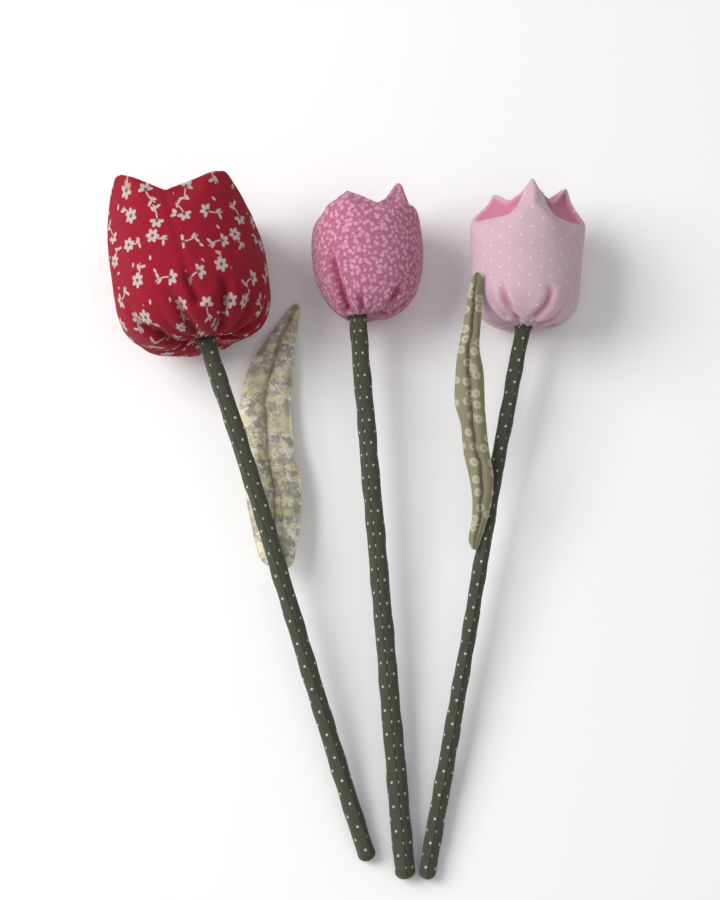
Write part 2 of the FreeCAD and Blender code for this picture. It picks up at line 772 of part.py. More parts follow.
def leaf(name):
    """A leaf's two cotton faces, its wadding and vein, and the stitches that hold it."""
    place = leaf_placement(name)
    pieces = [
        leaf_panel(name, name + "_leaf_upper_panel", -1),
        leaf_panel(name, name + "_leaf_lower_panel", 1),
        leaf_wadding(name, name + "_leaf_wadding"),
        vein_thread(name, name + "_leaf_vein_thread"),
    ]
    for piece in pieces:
        piece.Placement = place
    return pieces + [leaf_stitches(name)]


def stem(name):
    """A stem's cover, cut flat where its foot rests, with its padding, dowel and neck thread."""
    place = stem_placement(name)
    tube = stem_cover(name)
    tube.Label = name + "_stem_tube"
    below = below_table(name, name + "_stem", place, 0)
    flat = cut(tube, below, name + "_stem_rested")
    cover, padding, dowel = flat, stem_padding(name), stem_dowel(name)
    ring = neck_thread(name)
    for piece in (cover, padding, dowel):
        piece.Placement = place
    ring.Placement = place * moved(
        size(name + "_neck_bow"), 0, size(name + "_stem_length") - size("neck_thread_drop")
    )
    cover.Label = name + "_stem_cover"
    return [cover, padding, dowel, ring]


pieces = []
for tulip in ("red", "rose", "pale"):
    pieces += stem(tulip) + head(tulip)
for tulip in ("red", "pale"):
    pieces += leaf(tulip)
doc.recompute()

for item in doc.Objects:
    if "Invalid" in item.State or "Error" in item.State:
        raise RuntimeError("%s did not rebuild: %s" % (item.Name, item.State))
for piece in pieces:
    if piece.Shape.isNull() or not piece.Shape.isValid():
        raise RuntimeError(piece.Label + " has no valid shape")

os.makedirs("parts", exist_ok=True)
for piece in pieces:
    piece.Shape.exportStep("parts/%s.step" % piece.Label)
    print("%-24s %2d solid(s) %10.1f mm3" % (
        piece.Label, len(piece.Shape.Solids), piece.Shape.Volume
    ))
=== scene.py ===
"""Dresses three stuffed cotton tulips: sewn heads, padded stems, quilted leaves, threads."""

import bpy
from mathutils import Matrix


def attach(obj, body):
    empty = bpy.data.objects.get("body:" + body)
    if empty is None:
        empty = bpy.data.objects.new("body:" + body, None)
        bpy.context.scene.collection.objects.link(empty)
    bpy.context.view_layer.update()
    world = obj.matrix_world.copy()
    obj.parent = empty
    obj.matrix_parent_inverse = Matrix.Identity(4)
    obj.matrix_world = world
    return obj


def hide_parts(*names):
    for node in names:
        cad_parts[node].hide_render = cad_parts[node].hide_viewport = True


bl_info = {
    "name": "Stuffed Cotton Tulips",
    "version": (1, 0, 0),
    "blender": (4, 5, 0),
    "location": "3D View > Sidebar > Tulips",
    "description": "Sews the cloth heads, stems and leaves of a set of cotton tulips",
    "category": "Object",
}

import math

import bpy
import numpy as np
from bpy.props import FloatProperty, FloatVectorProperty, IntProperty, PointerProperty
from mathutils import Matrix, Vector

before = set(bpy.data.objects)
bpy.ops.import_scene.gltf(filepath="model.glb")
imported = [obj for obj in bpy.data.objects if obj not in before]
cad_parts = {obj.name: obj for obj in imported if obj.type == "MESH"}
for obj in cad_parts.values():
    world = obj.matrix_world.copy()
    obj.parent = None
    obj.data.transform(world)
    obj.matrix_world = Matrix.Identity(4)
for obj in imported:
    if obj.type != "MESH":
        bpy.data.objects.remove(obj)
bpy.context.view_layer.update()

MM = 0.001
TAU = 2 * math.pi
TULIPS = ("red", "rose", "pale")
LEAVES = ("red", "pale")

# Sizes of each tulip in millimetres and degrees: the same names and values as its solids have.
TULIP_SIZES = {
    "red": {
        "foot_x": 14.1, "foot_y": -191.4, "stem_length": 315.0, "stem_yaw": -17.9,
        "foot_radius": 5.0, "mid_radius": 5.0, "neck_radius": 5.1,
        "foot_bow": -1.3, "low_bow": -0.7, "high_bow": 0.6, "neck_bow": -0.7,
        "head_radius": 47.0, "head_length": 97.0, "head_yaw": -10.0, "head_pitch": 1.0,
        "head_turn": 0.0, "head_shift": -3.0, "seam_angle": -38.0, "seam_twist": 75.0,
    },
    "rose": {
        "foot_x": 33.6, "foot_y": -202.0, "stem_length": 329.0, "stem_yaw": -4.8,
        "foot_radius": 5.8, "mid_radius": 5.4, "neck_radius": 5.1,
        "foot_bow": 0.0, "low_bow": 0.15, "high_bow": 0.0, "neck_bow": 0.2,
        "head_radius": 33.5, "head_length": 76.0, "head_yaw": -2.5, "head_pitch": 3.0,
        "head_turn": 13.0, "head_shift": 7.7, "seam_angle": -30.0, "seam_twist": 40.0,
    },
    "pale": {
        "foot_x": 44.4, "foot_y": -201.8, "stem_length": 328.0, "stem_yaw": 10.7,
        "foot_radius": 4.8, "mid_radius": 4.2, "neck_radius": 4.5,
        "foot_bow": 0.7, "low_bow": 0.5, "high_bow": -0.6, "neck_bow": 0.4,
        "head_radius": 32.8, "head_length": 81.0, "head_yaw": 3.0, "head_pitch": 3.0,
        "head_turn": 45.0, "head_shift": 0.0, "seam_angle": 35.0, "seam_twist": -30.0,
    },
}
LEAF_SIZES = {
    "red": {"length": 170.0, "width": 34.0, "along_stem": 171.5, "round_stem": 174.0,
            "stitch": 1.0, "yaw": 19.7, "pitch": -12.6},
    "pale": {"length": 162.0, "width": 17.5, "along_stem": 188.0, "round_stem": -45.0,
             "stitch": 0.6, "yaw": -9.7, "pitch": 6.3},
}
# Sizes in millimetres that all solids share, and where along its length a stem bows.
FOOT_ROUNDING = 2.5
FOOT_FLAT = 0.25
FOOT_STRAIGHT = 60.0
HEAD_FLAT = 0.5
STEM_IN_HEAD = 28.0
THREAD_DROP = 3.4
THREAD_GAP = 0.08
LEAF_CLEARANCE = 0.3
COTTON = 0.5
LOW_STATION, HIGH_STATION = 0.43, 0.71

# Barrel of each head, from its neck to over its corners: height / length, radius / belly radius.
BARREL = {
    "red": [(0.0, 0.0), (-0.03, 0.43), (-0.005, 0.68), (0.05, 0.83), (0.14, 0.936), (0.26, 0.991),
            (0.38, 1.0), (0.62, 1.0), (0.86, 0.95), (1.04, 0.80), (1.2, 0.0)],
    "rose": [(0.0, 0.0), (-0.02, 0.40), (0.025, 0.61), (0.115, 0.79), (0.23, 0.915), (0.37, 0.985),
             (0.50, 1.0), (0.66, 0.985), (0.80, 0.93), (1.04, 0.62), (1.15, 0.0)],
    "pale": [(0.0, 0.0), (-0.024, 0.36), (-0.012, 0.60), (0.047, 0.81), (0.13, 0.945),
             (0.235, 0.99), (0.40, 1.0), (0.70, 1.04), (0.79, 1.0), (0.89, 0.85), (1.04, 0.58),
             (1.15, 0.0)],
}
# Two side views of each closed top, from belly to belly over the shoulders, tips and notches:
# place / belly radius, height / length.
TOPS = {
    "red": (
        [(0.98, 0.40), (0.74, 0.81), (0.64, 0.895), (-0.10, 0.80), (-0.63, 0.995), (-0.77, 0.92),
         (-0.96, 0.40)],
        [(1.03, 0.38), (0.80, 0.93), (0.57, 1.0), (0.0, 0.82), (-0.57, 1.0), (-0.80, 0.93),
         (-1.03, 0.38)],
    ),
    "rose": (
        [(1.03, 0.45), (0.80, 0.795), (0.75, 0.81), (0.64, 0.80), (0.53, 0.94), (0.44, 0.95),
         (0.22, 0.84), (0.02, 0.785), (-0.42, 0.91), (-0.80, 0.82), (-1.03, 0.45)],
        [(1.03, 0.45), (0.72, 0.86), (0.42, 0.96), (0.0, 0.86), (-0.42, 0.96), (-0.72, 0.86),
         (-1.03, 0.45)],
    ),
    "pale": (
        [(1.06, 0.45), (0.72, 0.80), (0.45, 1.01), (0.0, 0.895), (-0.43, 0.955), (-0.71, 0.79),
         (-1.06, 0.45)],
        [(1.06, 0.45), (0.71, 0.79), (0.43, 0.955), (0.0, 0.895), (-0.44, 1.01), (-0.72, 0.80),
         (-1.06, 0.45)],
    ),
}
# How the four tips are drawn out: the tip's corner in the first and in the second side view,
# the pull in mm and its spread in degrees.
TIP_PULLS = {
    "red": [(2, 4, 1.2, 8.0), (4, 4, 1.6, 8.0), (2, 2, 1.0, 8.0), (4, 2, 1.0, 8.0)],
    "rose": [(5, 4, 6.5, 8.5), (8, 4, 2.5, 6.5), (5, 2, 3.0, 6.0), (8, 2, 3.0, 6.0)],
    "pale": [(4, 4, 5.5, 4.2), (2, 4, 5.5, 7.0), (4, 2, 3.0, 6.0), (2, 2, 3.0, 6.0)],
}
# How far the stuffed front climbs over its rim: to how many degrees from the tip, by how many mm.
FRONT_CLIMB = {"red": (0.0, 0.0), "rose": (0.0, 0.0), "pale": (46.0, 7.0)}
# Folds on the upper side of each head: corners (right, down, up the head), depth, width, in mm.
FOLDS = {
    "red": [
        ([(-5, -43, 76), (-3, -47, 54), (-1, -47, 36), (2, -45, 19)], 0.35, 1.6),
        ([(-2, -47, 31), (1, -45, 18), (3, -41, 9)], 2.0, 2.2),
        ([(-16, -44, 22), (-8, -40, 9), (-4, -32, 0), (-1, -20, -3)], 2.8, 3.0),
        ([(-42, -13, 15), (-23, -24, 0), (-14, -7, -2), (-8, 0, -2)], 3.0, 3.2),
        ([(16, -43, 23), (20, -39, 16), (18, -36, 8), (13, -22, -2)], 3.2, 3.0),
        ([(-41, -8, 10), (-36, 6, 4), (-22, 12, -1)], 1.6, 3.0),
        ([(36, -20, 8), (26, -8, 0), (16, -3, -2)], 2.2, 3.0),
    ],
    "rose": [
        ([(-22, -24, 39), (-21, -25, 24), (-17, -21, 8), (-13, -10, 0)], 3.0, 2.2),
        ([(-5, -25, 8), (-5, -15, -1)], 1.8, 1.6),
        ([(20, -22, 12), (16, -20, 6), (5, -7, 0)], 1.8, 2.0),
        ([(22, -5, 2), (11, -7, -1), (4, -5, -1)], 1.4, 1.6),
    ],
    "pale": [
        ([(-17, -27, 17), (-15, -27, 12), (-12, -24, 4), (-4, -14, -2)], 2.0, 1.8),
        ([(-24, -23, 20), (-20, -20, 7), (-12, -15, -1)], 1.3, 2.0),
        ([(9, -29, 17), (13, -28, 11), (11, -25, 5), (5, -19, -1)], 1.9, 2.0),
        ([(20, -11, 1), (8, -11, -2)], 1.6, 1.6),
        ([(26, -4, 4), (17, -2, -1), (10, 4, -2)], 1.4, 1.6),
    ],
}
# Of each head, in mm: how far its top sinks in, its frill, and the fold depth at which the painted
# shade in its colour is full.
TOP_SINK = {"red": 0.9, "rose": 0.7, "pale": 3.2}
NECK_FRILL = {"red": 0.9, "rose": 0.9, "pale": 2.0}
FOLD_SHADE = {"red": 2.0, "rose": 2.2, "pale": 4.0}
# Depth in mm of a pinched or sunk place on a top at which its painted shade is full.
RIDGE_SHADE = 2.2
# Large pleats round each neck, their depth in mm on a head of the given radius, and the smaller
# ones' depth; the cloth's lip next to the stem stays plain.
GATHERS = {"red": 11, "rose": 12, "pale": 11}
GATHER_DEPTH, GATHER_RADIUS, SMALL_GATHER_DEPTH, PLAIN_LIP = 4.2, 40.0, 1.9, 7.0
# Unevenness of the stuffing: size and height in mm, and what is added to the seed.
LUMPS = ((34.0, 0.9, 0), (11.0, 0.16, 5))
# The point that a head is seen from, as a share of its length; corners are softened by so many
# degrees, the rim by so many mm and a tip's point by a share of its spread.
HEAD_MIDDLE, BARREL_BLUR, VIEW_BLUR, RIM_SOFTNESS, TIP_BLUNTNESS = 0.45, 1.2, 1.6, 0.9, 0.22
# The red head's two panels meet up its front, so its print starts anew there; cloth that lies flat
# in the tips and the panels of a leaf have places of their own in the print. All in mm.
SEAM_SHIFT = {"red": 37.1, "rose": 0.0, "pale": 0.0}
FLAT_CLOTH_PLACE, PANEL_PLACE = 300.0, 50.0

# In mm: a stem's domed foot, the length over which its bows are softened, how low cloth may lie
# over the table, and the gap within which two points of a sewn edge are one.
FOOT_DOME, STEM_BLUR = 4.5, 20.0
HEAD_OVER_TABLE, STEM_OVER_TABLE, LEAF_OVER_TABLE = 0.6, 0.1, 0.2
SEAM_GAP = 0.01

# Leaf outline: share of the length, sideways shift / length, share of the full width.
LEAF_LINES = {
    "red": [(0.0, 0.0, 0.34), (0.05, -0.016, 0.61), (0.175, -0.026, 0.86), (0.32, -0.044, 1.0),
            (0.47, -0.069, 0.945), (0.58, -0.079, 0.915), (0.67, -0.075, 0.868),
            (0.763, -0.060, 0.765), (0.857, -0.034, 0.535), (0.935, -0.007, 0.33),
            (1.0, 0.016, 0.13)],
    "pale": [(0.0, 0.0, 0.20), (0.04, 0.001, 0.43), (0.11, 0.017, 0.53), (0.19, 0.026, 0.68),
             (0.275, 0.019, 0.83), (0.36, 0.001, 0.863), (0.445, -0.008, 0.846),
             (0.53, -0.023, 0.994), (0.64, -0.025, 0.93), (0.727, -0.028, 0.70),
             (0.85, -0.014, 0.55), (0.95, -0.005, 0.44), (1.0, 0.0, 0.234)],
}
# Half a leaf's cross-section, from its vein to its edge: place, height; then height / width.
LEAF_CROWN = [
    (0.0, 0.34), (0.10, 0.66), (0.20, 0.88), (0.40, 1.0), (0.70, 0.66), (0.90, 0.10), (1.0, 0.0)
]
LEAF_FULLNESS = {"red": 0.14, "pale": 0.20}
LEAF_END_ROUNDING = 0.55
# Stitches, in mm: pitch along vein and edge, thread radii; a stitch's share of its pitch.
VEIN_PITCH, HEM_PITCH = {"red": 3.4, "pale": 3.0}, 5.2
VEIN_THREAD, TOP_THREAD, NECK_THREAD = {"red": 0.34, "pale": 0.40}, 0.45, 0.30
STITCH_SHARE = 0.66

# Painted shade colours for the depth of the heads' folds, and the slope of the olive twill.
FOLD_SHADE_COLOURS = {
    "red": (0.16, 0.002, 0.008), "rose": (0.33, 0.030, 0.10), "pale": (0.58, 0.145, 0.26)
}
TWILL_SLOPE = 0.8

# The camera, in metres, degrees and mm of sensor: one picture point shows PIXEL mm at the target.
CAMERA_TARGET, CAMERA_LIFT, CAMERA_DISTANCE = (0.00804, 0.04918, 0.0), 75.0, 1.1
CAMERA_SENSOR, PICTURE_HEIGHT, PIXEL = 36.0, 900.0, 0.6


def size_group(label, sizes):
    """A group of sizes, one property each, with the solids' own values as defaults."""
    fields = {}
    for name, value in sizes.items():
        is_angle = name.endswith(("yaw", "pitch", "turn", "angle", "twist", "round_stem"))
        words = name.replace("_", " ")
        fields[name] = FloatProperty(
            name=words.capitalize(),
            description="The %s's %s" % (label, words),
            default=math.radians(value) if is_angle else value * MM,
            subtype="ANGLE" if is_angle else "DISTANCE",
            precision=4,
        )
    title = "".join(word.capitalize() for word in label.split())
    return type("TULIPS_PG_" + title, (bpy.types.PropertyGroup,), {"__annotations__": fields})


RedTulipSizes = size_group("red tulip", TULIP_SIZES["red"])
RoseTulipSizes = size_group("rose tulip", TULIP_SIZES["rose"])
PaleTulipSizes = size_group("pale tulip", TULIP_SIZES["pale"])
RedLeafSizes = size_group("red tulip leaf", LEAF_SIZES["red"])
PaleLeafSizes = size_group("pale tulip leaf", LEAF_SIZES["pale"])


def colour(name, words, value):
    return FloatVectorProperty(
        name=name, description=words, subtype="COLOR", size=3, min=0.0, max=1.0, default=value
    )


class TULIPS_PG_Cloth(bpy.types.PropertyGroup):
    """Colours of the cottons and threads, and how finely the cloth is modelled."""

    red_ground: colour("Red cotton", "Ground of the red head's print", (0.285, 0.003, 0.017))
    red_motif: colour("Red print", "Little flowers on the red head", (0.54, 0.44, 0.42))
    rose_ground: colour("Rose cotton", "Ground of the rose head's print", (0.43, 0.130, 0.225))
    rose_motif: colour("Rose print", "Tiny blossoms on the rose head", (0.78, 0.47, 0.575))
    pale_ground: colour("Pale cotton", "Ground of the pale head's cotton", (0.61, 0.42, 0.475))
    pale_motif: colour("Pale dots", "Pin dots on the pale head", (0.74, 0.62, 0.66))
    stem_ground: colour("Stem cotton", "Ground of the stems' cotton", (0.060, 0.063, 0.043))
    stem_motif: colour("Stem dots", "Pin dots on the stems", (0.50, 0.50, 0.43))
    leaf_light: colour("Leaf wash", "Pale wash of the red tulip's leaf", (0.60, 0.55, 0.39))
    leaf_dark: colour("Leaf blotches", "Darker blotches of that leaf", (0.20, 0.17, 0.12))
    olive: colour("Olive twill", "Ground of the pale tulip's leaf", (0.31, 0.288, 0.178))
    olive_motif: colour("Twill daisies", "Ring daisies on that leaf", (0.68, 0.64, 0.49))
    thread: colour("Sewing thread", "Threads of veins and necks", (0.060, 0.058, 0.040))
    columns: IntProperty(
        name="Columns", description="Faces round a head", default=320, min=32, max=400
    )
    rows: IntProperty(
        name="Rows", description="Faces from a head's neck to its top", default=150, min=16, max=200
    )


class TULIPS_PG_Set(bpy.types.PropertyGroup):
    """All settings of the tulip set."""

    red: PointerProperty(type=RedTulipSizes)
    rose: PointerProperty(type=RoseTulipSizes)
    pale: PointerProperty(type=PaleTulipSizes)
    red_leaf: PointerProperty(type=RedLeafSizes)
    pale_leaf: PointerProperty(type=PaleLeafSizes)
    cloth: PointerProperty(type=TULIPS_PG_Cloth)


def settings():
    return bpy.context.scene.tulip_set


# Places


def heading(yaw, pitch):
    """Axes that turn +Z to a direction, with +X level and +Y down."""
    ahead = Vector((
        math.sin(yaw) * math.cos(pitch), math.cos(yaw) * math.cos(pitch), math.sin(pitch)
    ))
    right = Vector((math.cos(yaw), -math.sin(yaw), 0.0))
    return Matrix((right, ahead.cross(right), ahead)).transposed().to_4x4()


def head_rest(name):
    """The height of a head's neck over the table when its belly lies there."""
    sizes = getattr(settings(), name)
    reach = [
        sizes.head_radius * wide * math.cos(sizes.head_pitch)
        - sizes.head_length * high * math.sin(sizes.head_pitch)
        for high, wide in BARREL[name][1:-1]
    ]
    return max(reach) - HEAD_FLAT * MM


def stem_frame(name):
    """A stem's axes: its foot's end at the origin and its run along +Z."""
    sizes = getattr(settings(), name)
    rise = head_rest(name) - sizes.foot_radius + FOOT_FLAT * MM
    pitch = math.asin(rise / sizes.stem_length)
    height = sizes.foot_radius * math.cos(pitch) - FOOT_ROUNDING * MM * math.sin(pitch)
    foot = Vector((sizes.foot_x, sizes.foot_y, height - FOOT_FLAT * MM))
    return Matrix.Translation(foot) @ heading(sizes.stem_yaw, pitch)


def head_frame(name):
    """A head's axes: its neck at the origin and its top along +Z."""
    sizes = getattr(settings(), name)
    neck = stem_frame(name) @ Vector((sizes.neck_bow, 0.0, sizes.stem_length))
    place = Matrix.Translation(neck) @ heading(sizes.head_yaw, sizes.head_pitch)
    return place @ Matrix.Translation((sizes.head_shift, 0.0, 0.0))


def leaf_frame(name):
    """A leaf's axes: its sewn end at the origin, its run along +Z and its face to -Y."""
    sizes, stem = getattr(settings(), name + "_leaf"), getattr(settings(), name)
    width = sizes.width * LEAF_LINES[name][0][2]
    thick = LEAF_CROWN[0][1] * LEAF_FULLNESS[name] * width + COTTON * MM
    reach = abs(math.cos(sizes.round_stem)) * thick + abs(math.sin(sizes.round_stem)) * width / 2
    reach += stem.mid_radius + THREAD_GAP * MM + sizes.stitch + LEAF_CLEARANCE * MM
    seat = stem_frame(name) @ Matrix.Translation((0.0, 0.0, sizes.along_stem))
    seat = seat @ Matrix.Rotation(sizes.round_stem + math.pi, 4, "Z")
    end = seat @ Vector((0.0, reach, 0.0))
    place = Matrix.Translation(end) @ stem_frame(name).to_3x3().to_4x4()
    return place @ Matrix.Rotation(sizes.yaw, 4, "Y") @ Matrix.Rotation(sizes.pitch, 4, "X")


def placed(points, place):
    """Points in a piece's own axes, moved to the row's frame."""
    turn = np.array(place.to_3x3())
    return points @ turn.T + np.array(place.translation)


# Curves and surfaces


def smooth_step(low, high, value):
    share = np.clip((value - low) / (high - low), 0.0, 1.0)
    return share * share * (3 - 2 * share)


def bell(distance, width):
    return np.exp(-(distance / width) ** 2)


def smooth_line(points, count=12):
    """A smooth curve through the given points, with a count of its own for each run."""
    points = np.array(points, dtype=float)
    ends = np.vstack([2 * points[0] - points[1], points, 2 * points[-1] - points[-2]])
    share = np.linspace(0, 1, count, endpoint=False)[:, None]
    runs = []
    for before, start, end, after in zip(ends, ends[1:], ends[2:], ends[3:]):
        runs.append(0.5 * (
            2 * start + (end - before) * share
            + (2 * before - 5 * start + 4 * end - after) * share ** 2
            + (3 * start - before - 3 * end + after) * share ** 3
        ))
    return np.vstack(runs + [points[-1:]])


def wrapped(angle):
    """An angle from half a turn back to half a turn on."""
    return (angle + math.pi) % TAU - math.pi


def reach_by_angle(outline, middle, blur):
    """How far an outline reaches from a middle point in each direction, corners softened."""
    angles = np.arctan2(outline[:, 1] - middle, outline[:, 0])
    spans = np.hypot(outline[:, 0], outline[:, 1] - middle)
    steps, widest = 1440, 40
    grid = np.arange(steps) * TAU / steps - math.pi
    order = np.argsort(angles)
    reach = np.interp(grid, angles[order], spans[order], period=TAU)
    offsets = np.arange(-widest, widest + 1)
    weights = bell(offsets * 360.0 / steps, blur)
    weights /= weights.sum()
    reach = sum(weight * np.roll(reach, offset) for weight, offset in zip(weights, offsets))
    return grid, reach


def top_view(shares, radius, length):
    """A side view of a head as a dense outline: skirts, upright flank arcs and straight tips."""
    points = np.array([(place * radius, high * length) for place, high in shares])
    skirt_points, run_points = 30, 24
    sides = []
    for belly, shoulder in ((points[0], points[1]), (points[-1], points[-2])):
        across, rise = abs(belly[0] - shoulder[0]), shoulder[1] - belly[1]
        curve = (across ** 2 + rise ** 2) / (2 * across)
        sign = 1 if belly[0] > 0 else -1
        turn = np.linspace(0, math.asin(rise / curve), run_points)
        arc = np.stack([
            belly[0] - sign * curve * (1 - np.cos(turn)), belly[1] + curve * np.sin(turn)
        ], axis=1)
        skirt = np.stack([
            np.full(skirt_points, belly[0]),
            np.linspace(-2 * length, belly[1], skirt_points, endpoint=False),
        ], axis=1)
        sides.append(np.vstack([skirt, arc]))
    middle = [
        np.linspace(start, end, run_points) for start, end in zip(points[1:-2], points[2:-1])
    ]
    return np.vstack([sides[0]] + middle + [sides[1][::-1]])


def line_distance(points, corners):
    """Distance of points to a bent line, and how far along it each is, from 0 to 1."""
    corners = np.array(corners, dtype=float) * MM
    best, where = np.full(len(points), np.inf), np.zeros(len(points))
    count = len(corners) - 1
    for index in range(count):
        run = corners[index + 1] - corners[index]
        offset = points - corners[index]
        share = np.clip(offset @ run / (run @ run), 0, 1)
        span = np.linalg.norm(offset - share[:, None] * run, axis=1)
        nearer = span < best
        best = np.where(nearer, span, best)
        where = np.where(nearer, (index + share) / count, where)
    return best, where


def lumps(points, scale, seed):
    """A slow, uneven swelling of stuffed cloth, from -1 to 1."""
    turns = np.random.default_rng(seed)
    total, waves = np.zeros(len(points)), 7
    for _ in range(waves):
        direction = turns.normal(size=3)
        direction /= np.linalg.norm(direction)
        phase = turns.uniform(0, TAU)
        total += np.sin(points @ direction * TAU / (scale * turns.uniform(0.7, 1.5)) + phase)
    return total / waves


# Meshes


def deselect():
    if bpy.context.mode != "OBJECT":
        bpy.ops.object.mode_set(mode="OBJECT")
    bpy.ops.object.select_all(action="DESELECT")


def pick(*pieces):
    """Select these pieces alone, the first of them active."""
    deselect()
    for piece in pieces:
        piece.select_set(True)
    bpy.context.view_layer.objects.active = pieces[0]


def active_piece(name):
    piece = bpy.context.object
    piece.name = name
    piece.data.name = name
    return piece


def read_points(piece):
    points = np.empty(len(piece.data.vertices) * 3)
    piece.data.vertices.foreach_get("co", points)
    return points.reshape(-1, 3)


def write_points(piece, points):
    piece.data.vertices.foreach_set("co", np.ascontiguousarray(points).ravel())
    piece.data.update()


def read_normals(piece):
    normals = np.empty(len(piece.data.vertices) * 3)
    piece.data.vertex_normals.foreach_get("vector", normals)
    return normals.reshape(-1, 3)


def joined(pieces, name):
    """Several pieces as one smooth piece."""
    pick(*pieces)
    bpy.ops.object.join()
    bpy.ops.object.shade_smooth()
    return active_piece(name)


def clean_mesh(piece):
    """Close a piece's seams and turn its faces outwards."""
    pick(piece)
    bpy.ops.object.mode_set(mode="EDIT")
    bpy.ops.mesh.select_all(action="SELECT")
    bpy.ops.mesh.remove_doubles(threshold=SEAM_GAP * MM)
    bpy.ops.mesh.normals_make_consistent(inside=False)
    bpy.ops.object.mode_set(mode="OBJECT")
    bpy.ops.object.shade_smooth()


def cloth_map(piece, values):
    """Lay a piece's cloth coordinates, in metres, on its corners."""
    layer = piece.data.uv_layers.get("Cloth") or piece.data.uv_layers.new(name="Cloth")
    layer.data.foreach_set("uv", np.ascontiguousarray(values).ravel())
    piece.data.uv_layers.active = layer


def corner_data(piece):
    """The vertex and the face of each face corner."""
    mesh = piece.data
    vertices = np.empty(len(mesh.loops), dtype=np.int32)
    mesh.loops.foreach_get("vertex_index", vertices)
    totals = np.empty(len(mesh.polygons), dtype=np.int32)
    mesh.polygons.foreach_get("loop_total", totals)
    return vertices, np.repeat(np.arange(len(totals)), totals)


def rolled_sheet(name, columns, rows, place):
    """A grid of cloth rolled shut: place(turn, run) gives points and cloth coordinates."""
    deselect()
    bpy.ops.mesh.primitive_grid_add(x_subdivisions=columns, y_subdivisions=rows, size=1.0)
    piece = active_piece(name)
    flat = read_points(piece)
    turn = np.rint((flat[:, 0] + 0.5) * columns) / columns
    run = np.rint((flat[:, 1] + 0.5) * rows) / rows
    points, cloth = place(turn, run)
    write_points(piece, points)
    vertices, _ = corner_data(piece)
    cloth_map(piece, cloth[vertices])
    clean_mesh(piece)
    return piece


# Heads


class HeadForm:
    """The closed, stuffed form of one head, as its reach in each direction from its middle."""

    def __init__(self, name):
        sizes = getattr(settings(), name)
        self.name, self.sizes = name, sizes
        self.radius, self.length = sizes.head_radius, sizes.head_length
        self.middle = HEAD_MIDDLE * self.length
        side = smooth_line([
            (wide * self.radius, high * self.length) for high, wide in BARREL[name]
        ])
        both = np.vstack([side, side[::-1] * (-1, 1)])
        self.barrel = reach_by_angle(both, self.middle, BARREL_BLUR)
        self.views = [
            reach_by_angle(top_view(view, self.radius, self.length), self.middle, VIEW_BLUR)
            for view in TOPS[name]
        ]

    def spans(self, ways):
        """How far the barrel and the two side views lie in each direction."""
        across = np.hypot(ways[:, 0], ways[:, 1])
        spans = [np.interp(np.arctan2(ways[:, 2], across), *self.barrel, period=TAU)]
        for axis, view in enumerate(self.views):
            seen = np.hypot(ways[:, axis], ways[:, 2])
            angle = np.arctan2(ways[:, 2], ways[:, axis])
            spans.append(np.interp(angle, *view, period=TAU) / np.maximum(seen, 0.05))
        return spans

    def points(self, ways):
        """Where the cloth lies in each direction, in the head's axes before its turn."""
        spans, softness = self.spans(ways), RIM_SOFTNESS * MM
        nearest = np.min(spans, axis=0)
        total = sum(np.exp(-(span - nearest) / softness) for span in spans)
        reach = nearest - softness * np.log(total)
        for corner, side_corner, pull, spread in TIP_PULLS[self.name]:
            across, high = TOPS[self.name][0][corner]
            deep, side_high = TOPS[self.name][1][side_corner]
            tip = np.array([
                across * self.radius, deep * self.radius,
                min(high, side_high) * self.length - self.middle,
            ])
            cosine = ways @ (tip / np.linalg.norm(tip))
            away = np.arccos(np.clip(cosine, -1, 1)) / math.radians(spread)
            cusp = np.exp(-1.3 * (np.hypot(away, TIP_BLUNTNESS) - TIP_BLUNTNESS))
            reach = reach + pull * MM * (0.75 * cusp + 0.25 * bell(away, 1.0))
        return ways * reach[:, None] + (0.0, 0.0, self.middle)

    def turned(self, points):
        """Points after the head's turn about its own length."""
        cosine, sine = math.cos(self.sizes.head_turn), math.sin(self.sizes.head_turn)
        x, y, height = points.T
        return np.stack([x * cosine - y * sine, x * sine + y * cosine, height], axis=1)


def gather_depth(form, turn, from_stem, share):
    """The pleats of the gathered underside: large ones, and small ones close to the stem."""
    count = GATHERS[form.name]
    warp = 1.1 * np.sin(2 * turn + 1.3) + 0.9 * np.sin(3 * turn + 0.4) + 0.5 * np.sin(5 * turn)
    large = np.minimum(np.abs(np.cos(count * turn / 2 + warp)), 0.75) - 0.6
    small = np.abs(np.cos(count * turn + 2 * warp + 0.6)) - 0.7
    uneven = 0.55 + 0.45 * np.sin(2 * turn + 0.9) * np.sin(5 * turn + 2.2)
    reach = 0.17 + 0.09 * np.sin(3 * turn + 2.0) + 0.06 * np.sin(7 * turn + 0.7)
    fade = 1 - smooth_step(-0.03, 1.0, (share + 0.03) / reach)
    off_stem = smooth_step(0.0, PLAIN_LIP * MM, from_stem)
    by_stem = bell(from_stem, 12 * MM) * smooth_step(1 * MM, PLAIN_LIP * MM, from_stem)
    size = form.radius / (GATHER_RADIUS * MM)
    large_pleats = off_stem * uneven * large * GATHER_DEPTH * MM * size
    return fade * (large_pleats + by_stem * small * SMALL_GATHER_DEPTH * MM)


def frill_depth(form, turn, from_stem, share):
    """The cloth's turned-in edge round the stem, with a small frill before it."""
    wave = 1.0 + 0.3 * np.sin(9 * turn + 1.2 * np.sin(3 * turn))
    frill = bell(from_stem - 1.6 * MM, 1.2 * MM) * wave * NECK_FRILL[form.name]
    turned_in = bell(from_stem + 1.0 * MM, 1.6 * MM)
    return smooth_step(0.3, -0.02, share) * (frill - turned_in) * MM


